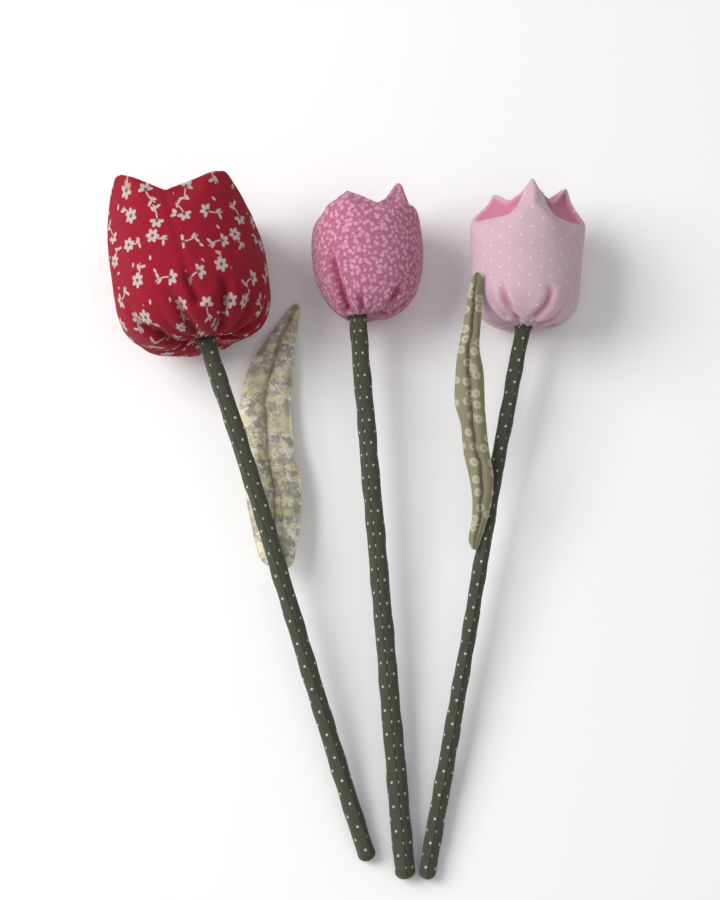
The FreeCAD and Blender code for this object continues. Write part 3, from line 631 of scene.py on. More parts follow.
def crease_depth(form, points, from_stem):
    """The folds of the upper side: each is a furrow with a low swelling to either side."""
    above = smooth_step(0.30, 0.0, points[:, 1] / form.radius)
    clear = 0.2 + 0.8 * smooth_step(0.0, 6 * MM, from_stem)
    total = np.zeros(len(points))
    for corners, depth, width in FOLDS[form.name]:
        distance, where = line_distance(points, corners)
        distance = np.maximum(distance / MM - 0.5, 0.0)
        taper = smooth_step(-0.05, 0.55, where) if depth > 1 else 1.0
        shape = 0.25 * bell(distance - 2.3 * width, 1.5 * width) - bell(distance, 0.9 * width)
        total += above * taper * clear * depth * 1.25 * MM * shape
    return total


def fold_depth(form, ridges, points):
    """How far the cloth stands out of the smooth form, and how deep in a fold each place lies, as
    the share of painted shade in its colour.
    """
    x, y, height = points.T
    from_axis, share = x + form.sizes.head_shift, height / form.length
    turn = np.arctan2(y, from_axis)
    from_stem = np.hypot(from_axis, y) - form.sizes.neck_radius
    creases = gather_depth(form, turn, from_stem, share) + crease_depth(form, points, from_stem)
    shade = np.maximum(-creases / FOLD_SHADE[form.name], -ridges / RIDGE_SHADE) / MM
    out = creases + ridges + frill_depth(form, turn, from_stem, share)
    for scale, swelling, seed in LUMPS:
        out += lumps(points, scale * MM, len(form.name) + seed) * swelling * MM
    return out, np.clip(shade, 0.0, 1.0)


def top_ridges(form, ways, bare):
    """The pinched edges of the four tips, and the top that sinks in between them."""
    barrel, front_view, side_view = form.spans(ways)
    rim = np.minimum(front_view, side_view) - barrel
    ridge = np.abs(front_view - side_view)
    outward = np.hypot(bare[:, 0], bare[:, 1]) / form.radius
    top = smooth_step(0.70, 0.80, bare[:, 2] / form.length)
    edge = top * smooth_step(3 * MM, 0.5 * MM, rim) * smooth_step(0.10, 0.45, outward)
    from_front = np.abs(wrapped(np.arctan2(bare[:, 1], bare[:, 0]) + 0.75 * math.pi))
    spread, rise = FRONT_CLIMB[form.name]
    if rise:
        edge = edge * smooth_step(0.0, 0.5, from_front)
    spread = math.radians(spread)
    rim = rim + rise * MM * (1 - smooth_step(0.25 * spread, spread + 0.01, from_front))
    between = top * (1 - bell(ridge, 3.0 * MM))
    sink = smooth_step(0.5 * MM, -3.5 * MM, rim) * TOP_SINK[form.name]
    pinch = 0.4 * bell(ridge - 2.2 * MM, 1.4 * MM) - 0.5 * bell(ridge, 1.1 * MM)
    return (edge * pinch + between * (0.4 * bell(rim - 1.0 * MM, 1.6 * MM) - sink)) * MM


def lay_head_cloth(piece, form, ways, bare, points):
    """Cloth coordinates round and up a head; inside its four tips the cloth lies flat."""
    vertices, faces = corner_data(piece)
    corners = np.bincount(faces)

    def mean(values):
        return np.bincount(faces, values[vertices]) / corners

    front = np.arctan2(points[:, 0], -points[:, 1])
    down = np.arccos(np.clip(ways[:, 2], -1, 1))
    face_turn = np.arctan2(mean(np.sin(front)), mean(np.cos(front)))[faces]
    at_pole = np.sin(down[vertices]) < 0.001
    turn = face_turn + np.where(at_pole, 0.0, wrapped(front[vertices] - face_turn))
    seam = SEAM_SHIFT[form.name] * MM * (face_turn > 0)
    scale = (form.radius + form.length / 2) / 2
    round_head = np.stack([turn * form.radius + seam, (math.pi - down[vertices]) * scale], axis=1)
    inside = mean(bare[:, 2] / form.length) > 0.65
    for axis, view in enumerate(TOPS[form.name]):
        tips = [view[pull[axis]][0] * form.radius for pull in TIP_PULLS[form.name]]
        middle = mean(bare[:, axis])
        inside &= (middle > min(tips)) & (middle < max(tips))
    flat = bare[vertices, :2] + FLAT_CLOTH_PLACE * MM
    cloth_map(piece, np.where(inside[faces][:, None], flat, round_head))


def eased_to_table(points):
    """Points of a head that would lie too low, eased towards the table's face."""
    height, low = points[:, 2], HEAD_OVER_TABLE * MM
    eased = low * np.exp((np.minimum(height, low) - low) / low)
    points[:, 2] = np.where(height < low, eased, height)
    return points


def make_head(name):
    """A head's printed cotton, from a ball that is drawn out to the stuffed and pinched form."""
    cloth, form = settings().cloth, HeadForm(name)
    deselect()
    bpy.ops.mesh.primitive_uv_sphere_add(
        segments=cloth.columns, ring_count=cloth.rows, radius=1.0
    )
    piece = active_piece(name + "_head_cloth")
    ways = read_points(piece)
    ways /= np.linalg.norm(ways, axis=1)[:, None]
    bare = form.points(ways)
    points = form.turned(bare)
    write_points(piece, points)
    out, painted_fold_shade = fold_depth(form, top_ridges(form, ways, bare), points)
    points = points + read_normals(piece) * out[:, None]
    # The depth in a fold, kept on the mesh, sets the painted shade in the cotton's colour.
    fold = piece.data.attributes.new("fold", "FLOAT", "POINT")
    fold.data.foreach_set("value", painted_fold_shade)
    lay_head_cloth(piece, form, ways, bare, points)
    write_points(piece, eased_to_table(placed(points, head_frame(name))))
    pick(piece)
    bpy.ops.object.shade_smooth()
    return piece


# Stems


def stem_line(name, run):
    """The middle of a stem and its radius at each run along it, in metres."""
    sizes = getattr(settings(), name)
    length = sizes.stem_length
    stations = [0.0, FOOT_STRAIGHT * MM, LOW_STATION * length, HIGH_STATION * length, length,
                length + STEM_IN_HEAD * MM]
    bows = [sizes.foot_bow, sizes.foot_bow, sizes.low_bow, sizes.high_bow, sizes.neck_bow,
            sizes.neck_bow]
    radii = [sizes.foot_radius, sizes.foot_radius, sizes.mid_radius, sizes.mid_radius,
             sizes.neck_radius, sizes.neck_radius]
    offsets = np.linspace(-STEM_BLUR * MM, STEM_BLUR * MM, 9)
    return [
        sum(np.interp(run + step, stations, values) for step in offsets) / len(offsets)
        for values in (bows, radii)
    ]


def make_stem(name):
    """A stem's dotted cotton, rolled to a tube whose edge overlaps, and tucked in at its foot."""
    sizes = getattr(settings(), name)
    end = sizes.stem_length + STEM_IN_HEAD / 2 * MM
    dome, dome_rows, body_rows, columns = FOOT_DOME * MM, 12, 230, 56
    rows = dome_rows + body_rows
    bend = np.linspace(0.02, math.pi / 2, dome_rows)
    body = np.linspace(dome, end, body_rows + 2)[1:]
    along = np.concatenate([dome * (1 - np.cos(bend)), body])
    wide = np.concatenate([sizes.foot_radius * np.sin(bend), stem_line(name, body)[1]])

    def place(turn, run):
        row = np.rint(run * rows).astype(int)
        reach, radius = along[row], wide[row]
        bow, _ = stem_line(name, reach)
        angle = turn * TAU
        # in mm: the overlapping edge with its shadow line, then the unevenness of the wadding
        overlap = np.where(turn > 0.9999, 0.0, smooth_step(0.90, 1.0, turn)) * 0.55
        overlap -= bell(turn - 0.012, 0.012) * 0.25
        wave = 0.16 * np.sin(angle * 2 + reach * 210) + 0.12 * np.sin(angle * 3 - reach * 340)
        wave += 0.10 * np.sin(angle + reach * 95) + 0.03 * np.sin(reach * 1150 + 2 * angle)
        pucker = smooth_step(6 * MM, 0.0, reach) * 0.25 * np.cos(9 * angle)
        open_part = smooth_step(0.35, 0.95, radius / sizes.foot_radius)
        open_part = np.where(reach < dome, open_part, 1.0)
        radius = radius + (overlap + wave + pucker) * MM * open_part
        seam = sizes.seam_angle + sizes.seam_twist * (1 - reach / sizes.stem_length)
        spin = angle + seam - math.pi / 2
        points = np.stack([bow + radius * np.cos(spin), radius * np.sin(spin), reach], axis=1)
        cloth = np.stack([angle * sizes.foot_radius, reach], axis=1)
        points = placed(points, stem_frame(name))
        points[:, 2] = np.maximum(points[:, 2], STEM_OVER_TABLE * MM)
        return points, cloth

    return rolled_sheet(name + "_stem_cloth", columns, rows, place)


# Leaves


class LeafForm:
    """One quilted leaf: its outline along its run and its pillowed faces."""

    def __init__(self, name):
        self.name, self.sizes = name, getattr(settings(), name + "_leaf")
        line = smooth_line(LEAF_LINES[name])
        self.run = line[:, 0] * self.sizes.length
        self.aside = line[:, 1] * self.sizes.length
        self.width = np.maximum(line[:, 2], 0.02) * self.sizes.width
        crown = smooth_line(LEAF_CROWN, count=10)
        order = np.argsort(crown[:, 0])
        self.crown = crown[order, 0], np.maximum(crown[order, 1], 0.0)

    def points(self, run, across, side):
        """Points at a run, a place across from -1 to 1, on a face: side -1 is the upper."""
        length = self.sizes.length
        aside = np.interp(run, self.run, self.aside)
        width = np.interp(run, self.run, self.width)
        for end, span in ((self.width[0], run), (self.width[-1], length - run)):
            short = np.clip(1 - span / (LEAF_END_ROUNDING * end), 0.0, 1.0)
            width = width * np.sqrt(1 - short ** 2)
        half = width / 2
        inwards = (1 - np.abs(across)) * half
        ends = smooth_step(0.0, 12 * MM, run) * smooth_step(0.0, 12 * MM, length - run)
        edge = 1 - np.abs(across) ** 12
        rise = np.interp(np.abs(across), *self.crown) * LEAF_FULLNESS[self.name] * width
        rise = rise * (0.35 + 0.65 * ends) + COTTON * MM * edge
        quilt = np.cos(run * TAU / (VEIN_PITCH[self.name] * MM) + 1.3 * np.sin(run * 190))
        pucker = np.cos(run * TAU / (HEM_PITCH * MM) + 2 * np.sin(run * 130))
        sewn = bell(across * half, 1.6 * MM) * quilt * 0.30
        sewn += bell(inwards - 2.8 * MM, 1.5 * MM) * pucker * 0.22
        sewn -= bell(inwards - 1.2 * MM, 0.5 * MM) * 0.30
        uneven = np.sin(run * 260 + across * 3) + np.sin(run * 147 - across * 4)
        rise = np.maximum(rise + (sewn * ends + uneven * 0.14 * edge) * MM, 0.0)
        wander = 0.5 * MM * np.sin(run * 160) + 0.3 * MM * np.sin(run * 410)
        place = aside + across * half + wander * (1 - across ** 2) * ends
        return np.stack([place, side * rise, run], axis=1)


def make_leaf(name):
    """A leaf's two cotton faces, rolled from one sheet and pillowed to each side of the vein."""
    form, leaf_place = LeafForm(name), leaf_frame(name)
    columns, rows = 72, 260

    def place(turn, run):
        angle = turn * TAU
        across = np.sign(np.cos(angle)) * np.abs(np.cos(angle)) ** 0.85
        side = np.where(np.rint(turn * columns) < columns / 2, -1.0, 1.0)
        seam = np.abs(np.sin(angle)) < 1e-6
        closed = (run < 1e-6) | (run > 1 - 1e-6)
        # rows lie denser at the two rounded ends
        reach = (run - 0.85 * np.sin(TAU * run) / TAU) * form.sizes.length
        points = form.points(reach, across, side)
        points[:, 1] = np.where(seam | closed, 0.0, points[:, 1])
        width = np.interp(reach, form.run, form.width)
        cloth = np.stack([across * width / 2 + PANEL_PLACE * MM * side, reach], axis=1)
        points = placed(points, leaf_place)
        points[:, 2] = np.maximum(points[:, 2], LEAF_OVER_TABLE * MM)
        return points, cloth

    return rolled_sheet(name + "_leaf_cloth", columns, rows, place)


# Threads


def stitch_row(name, stitches, radius):
    """Short stitches of thread: one is modelled and copied for each pair of ends."""
    deselect()
    bpy.ops.mesh.primitive_uv_sphere_add(segments=10, ring_count=8, radius=1.0)
    first = active_piece(name)
    ball = read_points(first)
    twist = 1 + 0.10 * np.cos(3 * np.arctan2(ball[:, 1], ball[:, 0]) + 6 * ball[:, 2])
    ball[:, :2] *= twist[:, None]
    pieces = [first]
    for _ in stitches[1:]:
        piece = first.copy()
        piece.data = first.data.copy()
        bpy.context.collection.objects.link(piece)
        pieces.append(piece)
    for piece, (start, end) in zip(pieces, stitches):
        start, end = Vector(start), Vector(end)
        run = end - start
        axes = run.to_track_quat("Z", "Y").to_matrix().to_4x4()
        place = Matrix.Translation((start + end) / 2) @ axes
        shape = ball * (radius, radius, run.length / 2 + radius * 0.5)
        write_points(piece, placed(shape, place))
    return joined(pieces, name)


def make_vein(name):
    """The running stitches down the middle of a leaf, on both faces."""
    form, place = LeafForm(name), leaf_frame(name)
    pitch = VEIN_PITCH[name] * MM
    stitches = []
    for side in (-1.0, 1.0):
        reach = 12 * MM
        while reach < form.sizes.length - 10 * MM:
            runs = np.array([reach, reach + pitch * STITCH_SHARE])
            ends = form.points(runs, np.zeros(2), side)
            ends[:, 1] += side * 0.10 * MM
            ends[:, 0] += 0.35 * MM * np.sin(runs * 900)
            stitches.append(placed(ends, place))
            reach += pitch
    return stitch_row(name + "_leaf_vein", stitches, VEIN_THREAD[name] * MM)


def make_top_stitch(name):
    """Four stitches that hold the middles of a head's sides together at its top."""
    form, place = HeadForm(name), head_frame(name)
    tilts = np.array([0.02, 0.16])
    stitches = []
    for quarter in range(4):
        angle = quarter * TAU / 4 + 0.1
        ways = np.stack([
            np.sin(tilts) * math.cos(angle), np.sin(tilts) * math.sin(angle), np.cos(tilts)
        ], axis=1)
        ends = form.turned(form.points(ways))
        ends[:, 2] += 0.3 * MM
        stitches.append(placed(ends, place))
    return stitch_row(name + "_top_threads", stitches, TOP_THREAD * MM)


def make_neck(name):
    """The gathering thread, wound three times round the stem under the head."""
    sizes, place = getattr(settings(), name), stem_frame(name)
    turns = []
    for index in range(3):
        deselect()
        bpy.ops.mesh.primitive_torus_add(
            major_segments=72, minor_segments=10,
            major_radius=sizes.neck_radius + 0.45 * MM, minor_radius=NECK_THREAD * MM,
        )
        turn = active_piece("%s_neck_turn%d" % (name, index))
        points = read_points(turn)
        angle = np.arctan2(points[:, 1], points[:, 0])
        points[:, 2] += 0.12 * MM * np.sin(angle + index)
        height = sizes.stem_length + (0.2 + 0.42 * index - THREAD_DROP) * MM
        write_points(turn, placed(points + (sizes.neck_bow, 0.0, height), place))
        turns.append(turn)
    return joined(turns, name + "_neck_threads")


# Finishes


class Finish:
    """Builds one material's nodes."""

    def __init__(self, name, roughness, sheen):
        self.material = bpy.data.materials.new(name)
        self.material.use_nodes = True
        self.tree = self.material.node_tree
        self.shader = self.tree.nodes["Principled BSDF"]
        self.shader.inputs["Roughness"].default_value = roughness
        self.shader.inputs["Sheen Weight"].default_value = sheen
        self.shader.inputs["Sheen Roughness"].default_value = 0.5
        self.shader.inputs["Specular IOR Level"].default_value = 0.25

    def feed(self, socket, value):
        """Link another node's output to a socket, or set the socket's own value."""
        if isinstance(value, bpy.types.NodeSocket):
            self.tree.links.new(value, socket)
        elif socket.type == "RGBA":
            socket.default_value = (*value[:3], 1.0)
        else:
            socket.default_value = value

    def node(self, kind, inputs=(), **options):
        """A node, its options set first and then its inputs linked or set."""
        item = self.tree.nodes.new("ShaderNode" + kind)
        for key, value in options.items():
            setattr(item, key, value)
        for key, value in dict(inputs).items():
            self.feed(item.inputs[key], value)
        return item

    def math(self, operation, first, second=0.0, third=0.0):
        """What a math node gives for up to three sockets or numbers."""
        item = self.node("Math", {0: first, 1: second, 2: third}, operation=operation)
        return item.outputs[0]

    def product(self, first, *others):
        for other in others:
            first = self.math("MULTIPLY", first, other)
        return first

    def greatest(self, first, *others):
        for other in others:
            first = self.math("MAXIMUM", first, other)
        return first

    def minus(self, first, second):
        return self.math("SUBTRACT", first, second)

    def absolute(self, value):
        return self.math("ABSOLUTE", value)

    def inside(self, distance, edge, soft):
        """1 where a distance is under an edge, 0 beyond it."""
        share = self.math("DIVIDE", self.minus(edge, distance), soft)
        item = self.node("Math", {0: share, 1: 0.5}, operation="ADD", use_clamp=True)
        return item.outputs[0]

    def outside(self, distance, edge, soft):
        """0 where a distance is under an edge, 1 beyond it."""
        return self.minus(1.0, self.inside(distance, edge, soft))

    def mix(self, share, first, second):
        """The first colour where the share is 0, the second where it's 1."""
        item = self.node("Mix", {0: share, 6: first, 7: second}, data_type="RGBA")
        return item.outputs[2]

    def cloth(self):
        """The cloth's own coordinates across and along, in metres."""
        place = self.node("UVMap", uv_map="Cloth").outputs[0]
        parts = self.node("SeparateXYZ", {0: place})
        return place, parts.outputs[0], parts.outputs[1]

    def solid(self):
        """Coordinates in the piece's own space."""
        return self.node("TexCoord").outputs["Object"]

    def noise(self, place, scale, detail=3.0):
        item = self.node("TexNoise", {"Vector": place, "Scale": scale, "Detail": detail})
        return item.outputs[0]

    def cells(self, place, spacing, randomness, shift=0.0):
        """Scattered motifs: the offset from each one's middle, and two chances."""
        moved = self.node("VectorMath", {0: place, 1: (shift, shift * 1.7, 0.0)}, operation="ADD")
        cell = self.node(
            "TexVoronoi",
            {"Vector": moved.outputs[0], "Scale": 1 / spacing, "Randomness": randomness},
            voronoi_dimensions="2D",
        )
        offset = self.node(
            "VectorMath", {0: moved.outputs[0], 1: cell.outputs["Position"]}, operation="SUBTRACT"
        )
        parts = self.node("SeparateXYZ", {0: offset.outputs[0]})
        chance = self.node("SeparateColor", {0: cell.outputs["Color"]})
        return parts.outputs[0], parts.outputs[1], chance.outputs[0], chance.outputs[1]

    def spun(self, x, y, share):
        """An offset turned by a share of a full turn."""
        angle = self.product(share, TAU)
        cosine, sine = self.math("COSINE", angle), self.math("SINE", angle)
        turned_x = self.math("ADD", self.product(x, cosine), self.product(y, sine))
        turned_y = self.minus(self.product(y, cosine), self.product(x, sine))
        return turned_x, turned_y

    def motifs(self, place, spacing, randomness, shift=0.0):
        """Scattered motifs, each turned its own way: the offset from its middle, its chance."""
        x, y, turn, chance = self.cells(place, spacing, randomness, shift)
        return (*self.spun(x, y, turn), chance)

    def span(self, x, y, stretch=1.0):
        """Distance from the middle, with one direction stretched."""
        wide, tall = self.product(x, x), self.product(y, y, stretch * stretch)
        return self.math("SQRT", self.math("ADD", wide, tall))

    def petals(self, x, y, count, depth):
        """A wavy share of a motif's radius by its direction."""
        angle = self.math("ARCTAN2", y, x)
        wave = self.absolute(self.math("COSINE", self.product(angle, count / 2)))
        return self.math("MULTIPLY_ADD", wave, depth, 1 - depth)

    def dots(self, across, along, wide, tall, radius):
        """Pin dots on a staggered lattice."""
        masks = []
        for shift in (0.0, 0.5):
            offsets = []
            for place, pitch in ((across, wide), (along, tall)):
                share = self.math("MULTIPLY_ADD", place, 1 / pitch, shift)
                offsets.append(self.product(self.minus(self.math("FRACT", share), 0.5), pitch))
            masks.append(self.inside(self.span(*offsets), radius, radius * 0.45))
        return self.greatest(*masks)

    def relief(self, height, strength, depth):
        """A height as bump, its depth in metres."""
        bump = self.node("Bump", {"Strength": strength, "Distance": depth, "Height": height})
        self.feed(self.shader.inputs["Normal"], bump.outputs[0])

    def weave(self, pitch=0.45 * MM, strength=0.35, twill=0.0):
        """A fine over-and-under weave with a little uneven yarn, as bump."""
        place, across, along = self.cloth()
        if twill:
            lean = self.math("MULTIPLY_ADD", along, twill, across)
            height = self.math("SINE", self.product(lean, TAU / pitch))
        else:
            warp = self.math("SINE", self.product(across, TAU / pitch))
            weft = self.math("SINE", self.product(along, TAU / pitch))
            height = self.product(warp, weft)
        height = self.math("MULTIPLY_ADD", self.noise(place, 420.0, 2.0), 1.6, height)
        self.relief(height, strength, 0.3 * MM)

    def paint(self, value):
        self.feed(self.shader.inputs["Base Color"], value)

    def painted_fold_shade(self, value, deep, share):
        """The colour with painted shade: it deepens where light is caught between two sides of a
        fold.
        """
        fold = self.node("Attribute", attribute_name="fold").outputs["Fac"]
        return self.mix(self.product(fold, share), value, deep)

    def worn(self, value, place, spread):
        """A colour with the slow unevenness of washed cotton."""
        share = self.noise(place, 38.0, 4.0)
        item = self.node("HueSaturation", {
            "Color": value,
            "Value": self.math("MULTIPLY_ADD", share, 2 * spread, 1 - spread),
        })
        return item.outputs[0]


def red_print():
    """Red cotton with loose cream six-petal flowers, sprigs and stray petals."""
    cloth = settings().cloth
    finish = Finish("red_head_cotton_print", 0.85, 0.04)
    place, _, _ = finish.cloth()
    x, y, kind = finish.motifs(place, 17.5 * MM, 0.66)
    shrink = 0.78
    x, y = finish.product(x, shrink), finish.product(y, shrink)
    span = finish.span(x, y)
    # whole flowers, and some that show their upper petals only
    petal = finish.product(finish.petals(x, y, 6, 0.46), 3.3 * MM)
    upper = finish.inside(finish.product(y, -1.0), 0.6 * MM, 0.5 * MM)
    whole = finish.outside(kind, 0.38, 0.01)
    flower = finish.product(finish.inside(span, petal, 0.5 * MM), finish.greatest(upper, whole))
    # a bent stalk under each flower, with a leaf to either side
    bend = finish.product(y, y, 55.0)
    beside = finish.absolute(finish.minus(x, bend))
    below = finish.absolute(finish.math("ADD", y, 4.0 * MM))
    sprig = finish.product(
        finish.inside(beside, 0.32 * MM, 0.3 * MM), finish.inside(below, 3.0 * MM, 0.4 * MM)
    )
    for side, low in ((-1.0, 5.0 * MM), (1.0, 6.4 * MM)):
        leaf_x = finish.math("ADD", x, (1.1 * side - 1.4) * MM)
        leaf_x, leaf_y = finish.spun(leaf_x, finish.math("ADD", y, low), -0.14 * side)
        leaf = finish.inside(finish.span(leaf_x, leaf_y, 0.42), 0.62 * MM, 0.3 * MM)
        sprig = finish.greatest(sprig, leaf)
    # stray petals, clear of the flowers
    petal_x, petal_y, chance = finish.motifs(place, 12.0 * MM, 0.95, 31 * MM)
    stray = finish.product(
        finish.inside(finish.span(petal_x, petal_y, 0.55), 0.75 * MM, 0.3 * MM),
        finish.inside(chance, 0.55, 0.01), finish.outside(span, 5.0 * MM, 0.6 * MM),
    )
    shape = finish.greatest(flower, sprig, stray)
    eye = finish.inside(span, 0.78 * MM, 0.4 * MM)
    motif = finish.mix(eye, cloth.red_motif, (0.16, 0.06, 0.08))
    ink = finish.math("MULTIPLY_ADD", finish.noise(place, 700.0, 2.0), 0.35, 0.76)
    value = finish.mix(finish.product(shape, ink), cloth.red_ground, motif)
    # Painted shade darkens the red in the folds.
    finish.paint(finish.painted_fold_shade(finish.worn(value, place, 0.09), FOLD_SHADE_COLOURS["red"], 0.65))
    finish.weave()
    return finish.material


def rose_print():
    """Rose cotton, closely strewn with tiny light blossoms and lighter specks."""
    cloth = settings().cloth
    finish = Finish("rose_head_cotton_print", 0.84, 0.14)
    place, _, _ = finish.cloth()
    x, y, kind = finish.motifs(place, 3.4 * MM, 0.95)
    span = finish.span(x, y)
    petal = finish.product(finish.petals(x, y, 5, 0.75), 1.35 * MM)
    size = finish.product(petal, finish.math("MULTIPLY_ADD", kind, 0.35, 0.75))
    eye = finish.inside(finish.minus(0.6 * MM, span), 0.3 * MM, 0.3 * MM)
    blossom = finish.product(finish.inside(span, size, 0.4 * MM), eye, 0.80)
    speck_x, speck_y, _, _ = finish.cells(place, 2.5 * MM, 0.95, 17 * MM)
    speck = finish.inside(finish.span(speck_x, speck_y), 0.60 * MM, 0.4 * MM)
    ground = finish.mix(finish.product(speck, 0.5), cloth.rose_ground, (0.62, 0.25, 0.38))
    value = finish.worn(finish.mix(blossom, ground, cloth.rose_motif), place, 0.08)
    # Painted shade deepens the rose in the folds.
    finish.paint(finish.painted_fold_shade(value, FOLD_SHADE_COLOURS["rose"], 0.75))
    finish.weave()
    return finish.material


def dot_print(name, ground, motif, wide, tall, radius, deep):
    """Cotton with pin dots on a staggered lattice, and painted shade in the folds where a piece
    keeps their depth.
    """
    finish = Finish(name, 0.84, 0.14)
    place, across, along = finish.cloth()
    mask = finish.dots(across, along, wide, tall, radius)
    value = finish.worn(finish.mix(mask, ground, motif), place, 0.08)
    finish.paint(finish.painted_fold_shade(value, deep, 0.85))
    finish.weave()
    return finish.material


def vein_shade(finish, across, value, deep, share):
    """The cloth's colour with the shade of the groove along the vein."""
    off = finish.absolute(finish.minus(finish.absolute(across), PANEL_PLACE * MM))
    groove = finish.inside(off, 1.3 * MM, 2.6 * MM)
    return finish.mix(finish.product(groove, share), value, deep)


def wash_print():
    """Pale leaf cotton with soft washes and petals of yellow green, white, grey and brown."""
    cloth = settings().cloth
    finish = Finish("red_leaf_cotton_print", 0.84, 0.12)
    place, across, _ = finish.cloth()
    slow = finish.noise(place, 120.0, 2.0)
    value = finish.mix(finish.inside(slow, 0.50, 0.10), (0.52, 0.49, 0.40), cloth.leaf_light)
    for spacing, shift, radius, light, dark in (
        (8.5, 11, 4.8, (0.88, 0.86, 0.79), (0.72, 0.67, 0.38)),
        (7.1, 37, 3.6, (0.78, 0.73, 0.50), (0.41, 0.38, 0.31)),
    ):
        x, y, kind = finish.motifs(place, spacing * MM, 0.95, shift * MM)
        petal = finish.product(finish.petals(x, y, 4, 0.55), radius * MM)
        bloom = finish.inside(finish.span(x, y), petal, 1.3 * MM)
        tone = finish.mix(finish.inside(kind, 0.5, 0.1), light, dark)
        value = finish.mix(finish.product(bloom, 0.9), value, tone)
    line = finish.absolute(finish.minus(finish.noise(place, 240.0), 0.5))
    here = finish.inside(finish.noise(place, 70.0, 1.0), 0.52, 0.12)
    twig = finish.product(finish.inside(line, 0.024, 0.03), here, 0.65)
    value = finish.mix(twig, value, cloth.leaf_dark)
    value = vein_shade(finish, across, value, (0.17, 0.15, 0.10), 0.62)
    finish.paint(finish.worn(value, place, 0.09))
    finish.weave()
    return finish.material


def twill_print():
    """Olive twill with small cream ring daisies."""
    cloth = settings().cloth
    finish = Finish("pale_leaf_cotton_twill", 0.84, 0.12)
    place, across, along = finish.cloth()
    lean = finish.math("MULTIPLY_ADD", along, TWILL_SLOPE, across)
    stripe = finish.math("SINE", finish.product(lean, TAU / (1.5 * MM)))
    stripe = finish.math("MULTIPLY_ADD", stripe, 0.5, 0.5)
    ground = finish.mix(stripe, (0.19, 0.175, 0.10), cloth.olive)
    x, y, _ = finish.motifs(place, 8.0 * MM, 0.75)
    span = finish.span(x, y)
    ray = finish.product(finish.petals(x, y, 13, 0.50), 2.7 * MM)
    ring = finish.product(
        finish.inside(span, ray, 0.5 * MM), finish.outside(span, 1.1 * MM, 0.4 * MM)
    )
    daisy = finish.greatest(ring, finish.inside(span, 0.5 * MM, 0.3 * MM))
    value = finish.mix(finish.product(daisy, 0.72), ground, cloth.olive_motif)
    value = vein_shade(finish, across, value, (0.09, 0.08, 0.045), 0.55)
    finish.paint(finish.worn(value, place, 0.10))
    finish.weave(0.9 * MM, 0.4, TWILL_SLOPE)
    return finish.material


def thread_finish(name, value):
    """Twisted sewing thread, with painted shade in the grooves of its twist."""
    finish = Finish(name, 0.6, 0.1)
    twist = finish.node(
        "TexWave", {"Vector": finish.solid(), "Scale": 900.0, "Distortion": 1.5},
        bands_direction="DIAGONAL",
    ).outputs[1]
    # Painted shade: the grooves of the twist are coloured darker.
    dark = tuple(part * 0.6 for part in value)
    finish.paint(finish.mix(twist, dark, value))
    finish.relief(twist, 0.4, 0.2 * MM)
    return finish.material


def birch_finish():
    """Plain birch with a fine grain along the stick."""
    finish = Finish("birch", 0.55, 0.0)
    long = finish.node("Mapping", {"Vector": finish.solid(), "Scale": (900.0, 60.0, 900.0)})
    grain = finish.noise(long.outputs[0], 1.0, 4.0)
    finish.paint(finish.mix(grain, (0.62, 0.46, 0.28), (0.74, 0.60, 0.41)))
    finish.relief(grain, 0.2, 0.2 * MM)
    return finish.material


def stuffing_finish():
    """White fibre stuffing."""
    finish = Finish("polyester_stuffing", 0.95, 0.3)
    fibre = finish.noise(finish.solid(), 900.0, 5.0)
    finish.paint(finish.mix(fibre, (0.70, 0.69, 0.66), (0.86, 0.85, 0.82)))
    finish.relief(fibre, 0.6, 0.6 * MM)
    return finish.material


def wear(piece, material):
    piece.data.materials.clear()
    piece.data.materials.append(material)


# Operators


class TULIPS_OT_camera(bpy.types.Operator):
    """Set the camera over the tulips, as the set is seen on its table"""

    bl_idname = "tulips.camera"
    bl_label = "Camera"

    def execute(self, context):
        lift = math.radians(CAMERA_LIFT)
        back = Vector((0.0, -math.cos(lift), math.sin(lift)))
        bpy.ops.object.camera_add(location=Vector(CAMERA_TARGET) + back * CAMERA_DISTANCE)
        camera = context.object
        camera.name = "table_camera"
        camera.rotation_euler = (-back).to_track_quat("-Z", "Y").to_euler()
        camera.data.sensor_width = CAMERA_SENSOR
        camera.data.lens = CAMERA_SENSOR / PICTURE_HEIGHT * CAMERA_DISTANCE / PIXEL * 1000.0
        camera.data.clip_start = 0.01
        context.scene.camera = camera
        return {"FINISHED"}


class TULIPS_OT_heads(bpy.types.Operator):
    """Sew and stuff the three heads"""

    bl_idname = "tulips.heads"
    bl_label = "Heads"

    def execute(self, context):
        cloth = settings().cloth
        finishes = {
            "red": red_print(),
            "rose": rose_print(),
            "pale": dot_print("pale_head_cotton_dots", cloth.pale_ground, cloth.pale_motif,
                              12.4 * MM, 10.0 * MM, 0.62 * MM, FOLD_SHADE_COLOURS["pale"]),
        }
        for name in TULIPS:
            piece = make_head(name)
            wear(piece, finishes[name])
            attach(piece, name + "_tulip")
            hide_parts(name + "_head_cover", name + "_head_stuffing")
        return {"FINISHED"}


class TULIPS_OT_stems(bpy.types.Operator):
    """Roll the dotted cotton of the three stems"""

    bl_idname = "tulips.stems"
    bl_label = "Stems"

    def execute(self, context):
        cloth = settings().cloth
        material = dot_print("stem_cotton_dots", cloth.stem_ground, cloth.stem_motif,
                             8.1 * MM, 13.5 * MM, 0.74 * MM, cloth.stem_ground)
        for name in TULIPS:
            piece = make_stem(name)
            wear(piece, material)
            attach(piece, name + "_tulip")
            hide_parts(name + "_stem_cover", name + "_stem_padding")
        return {"FINISHED"}


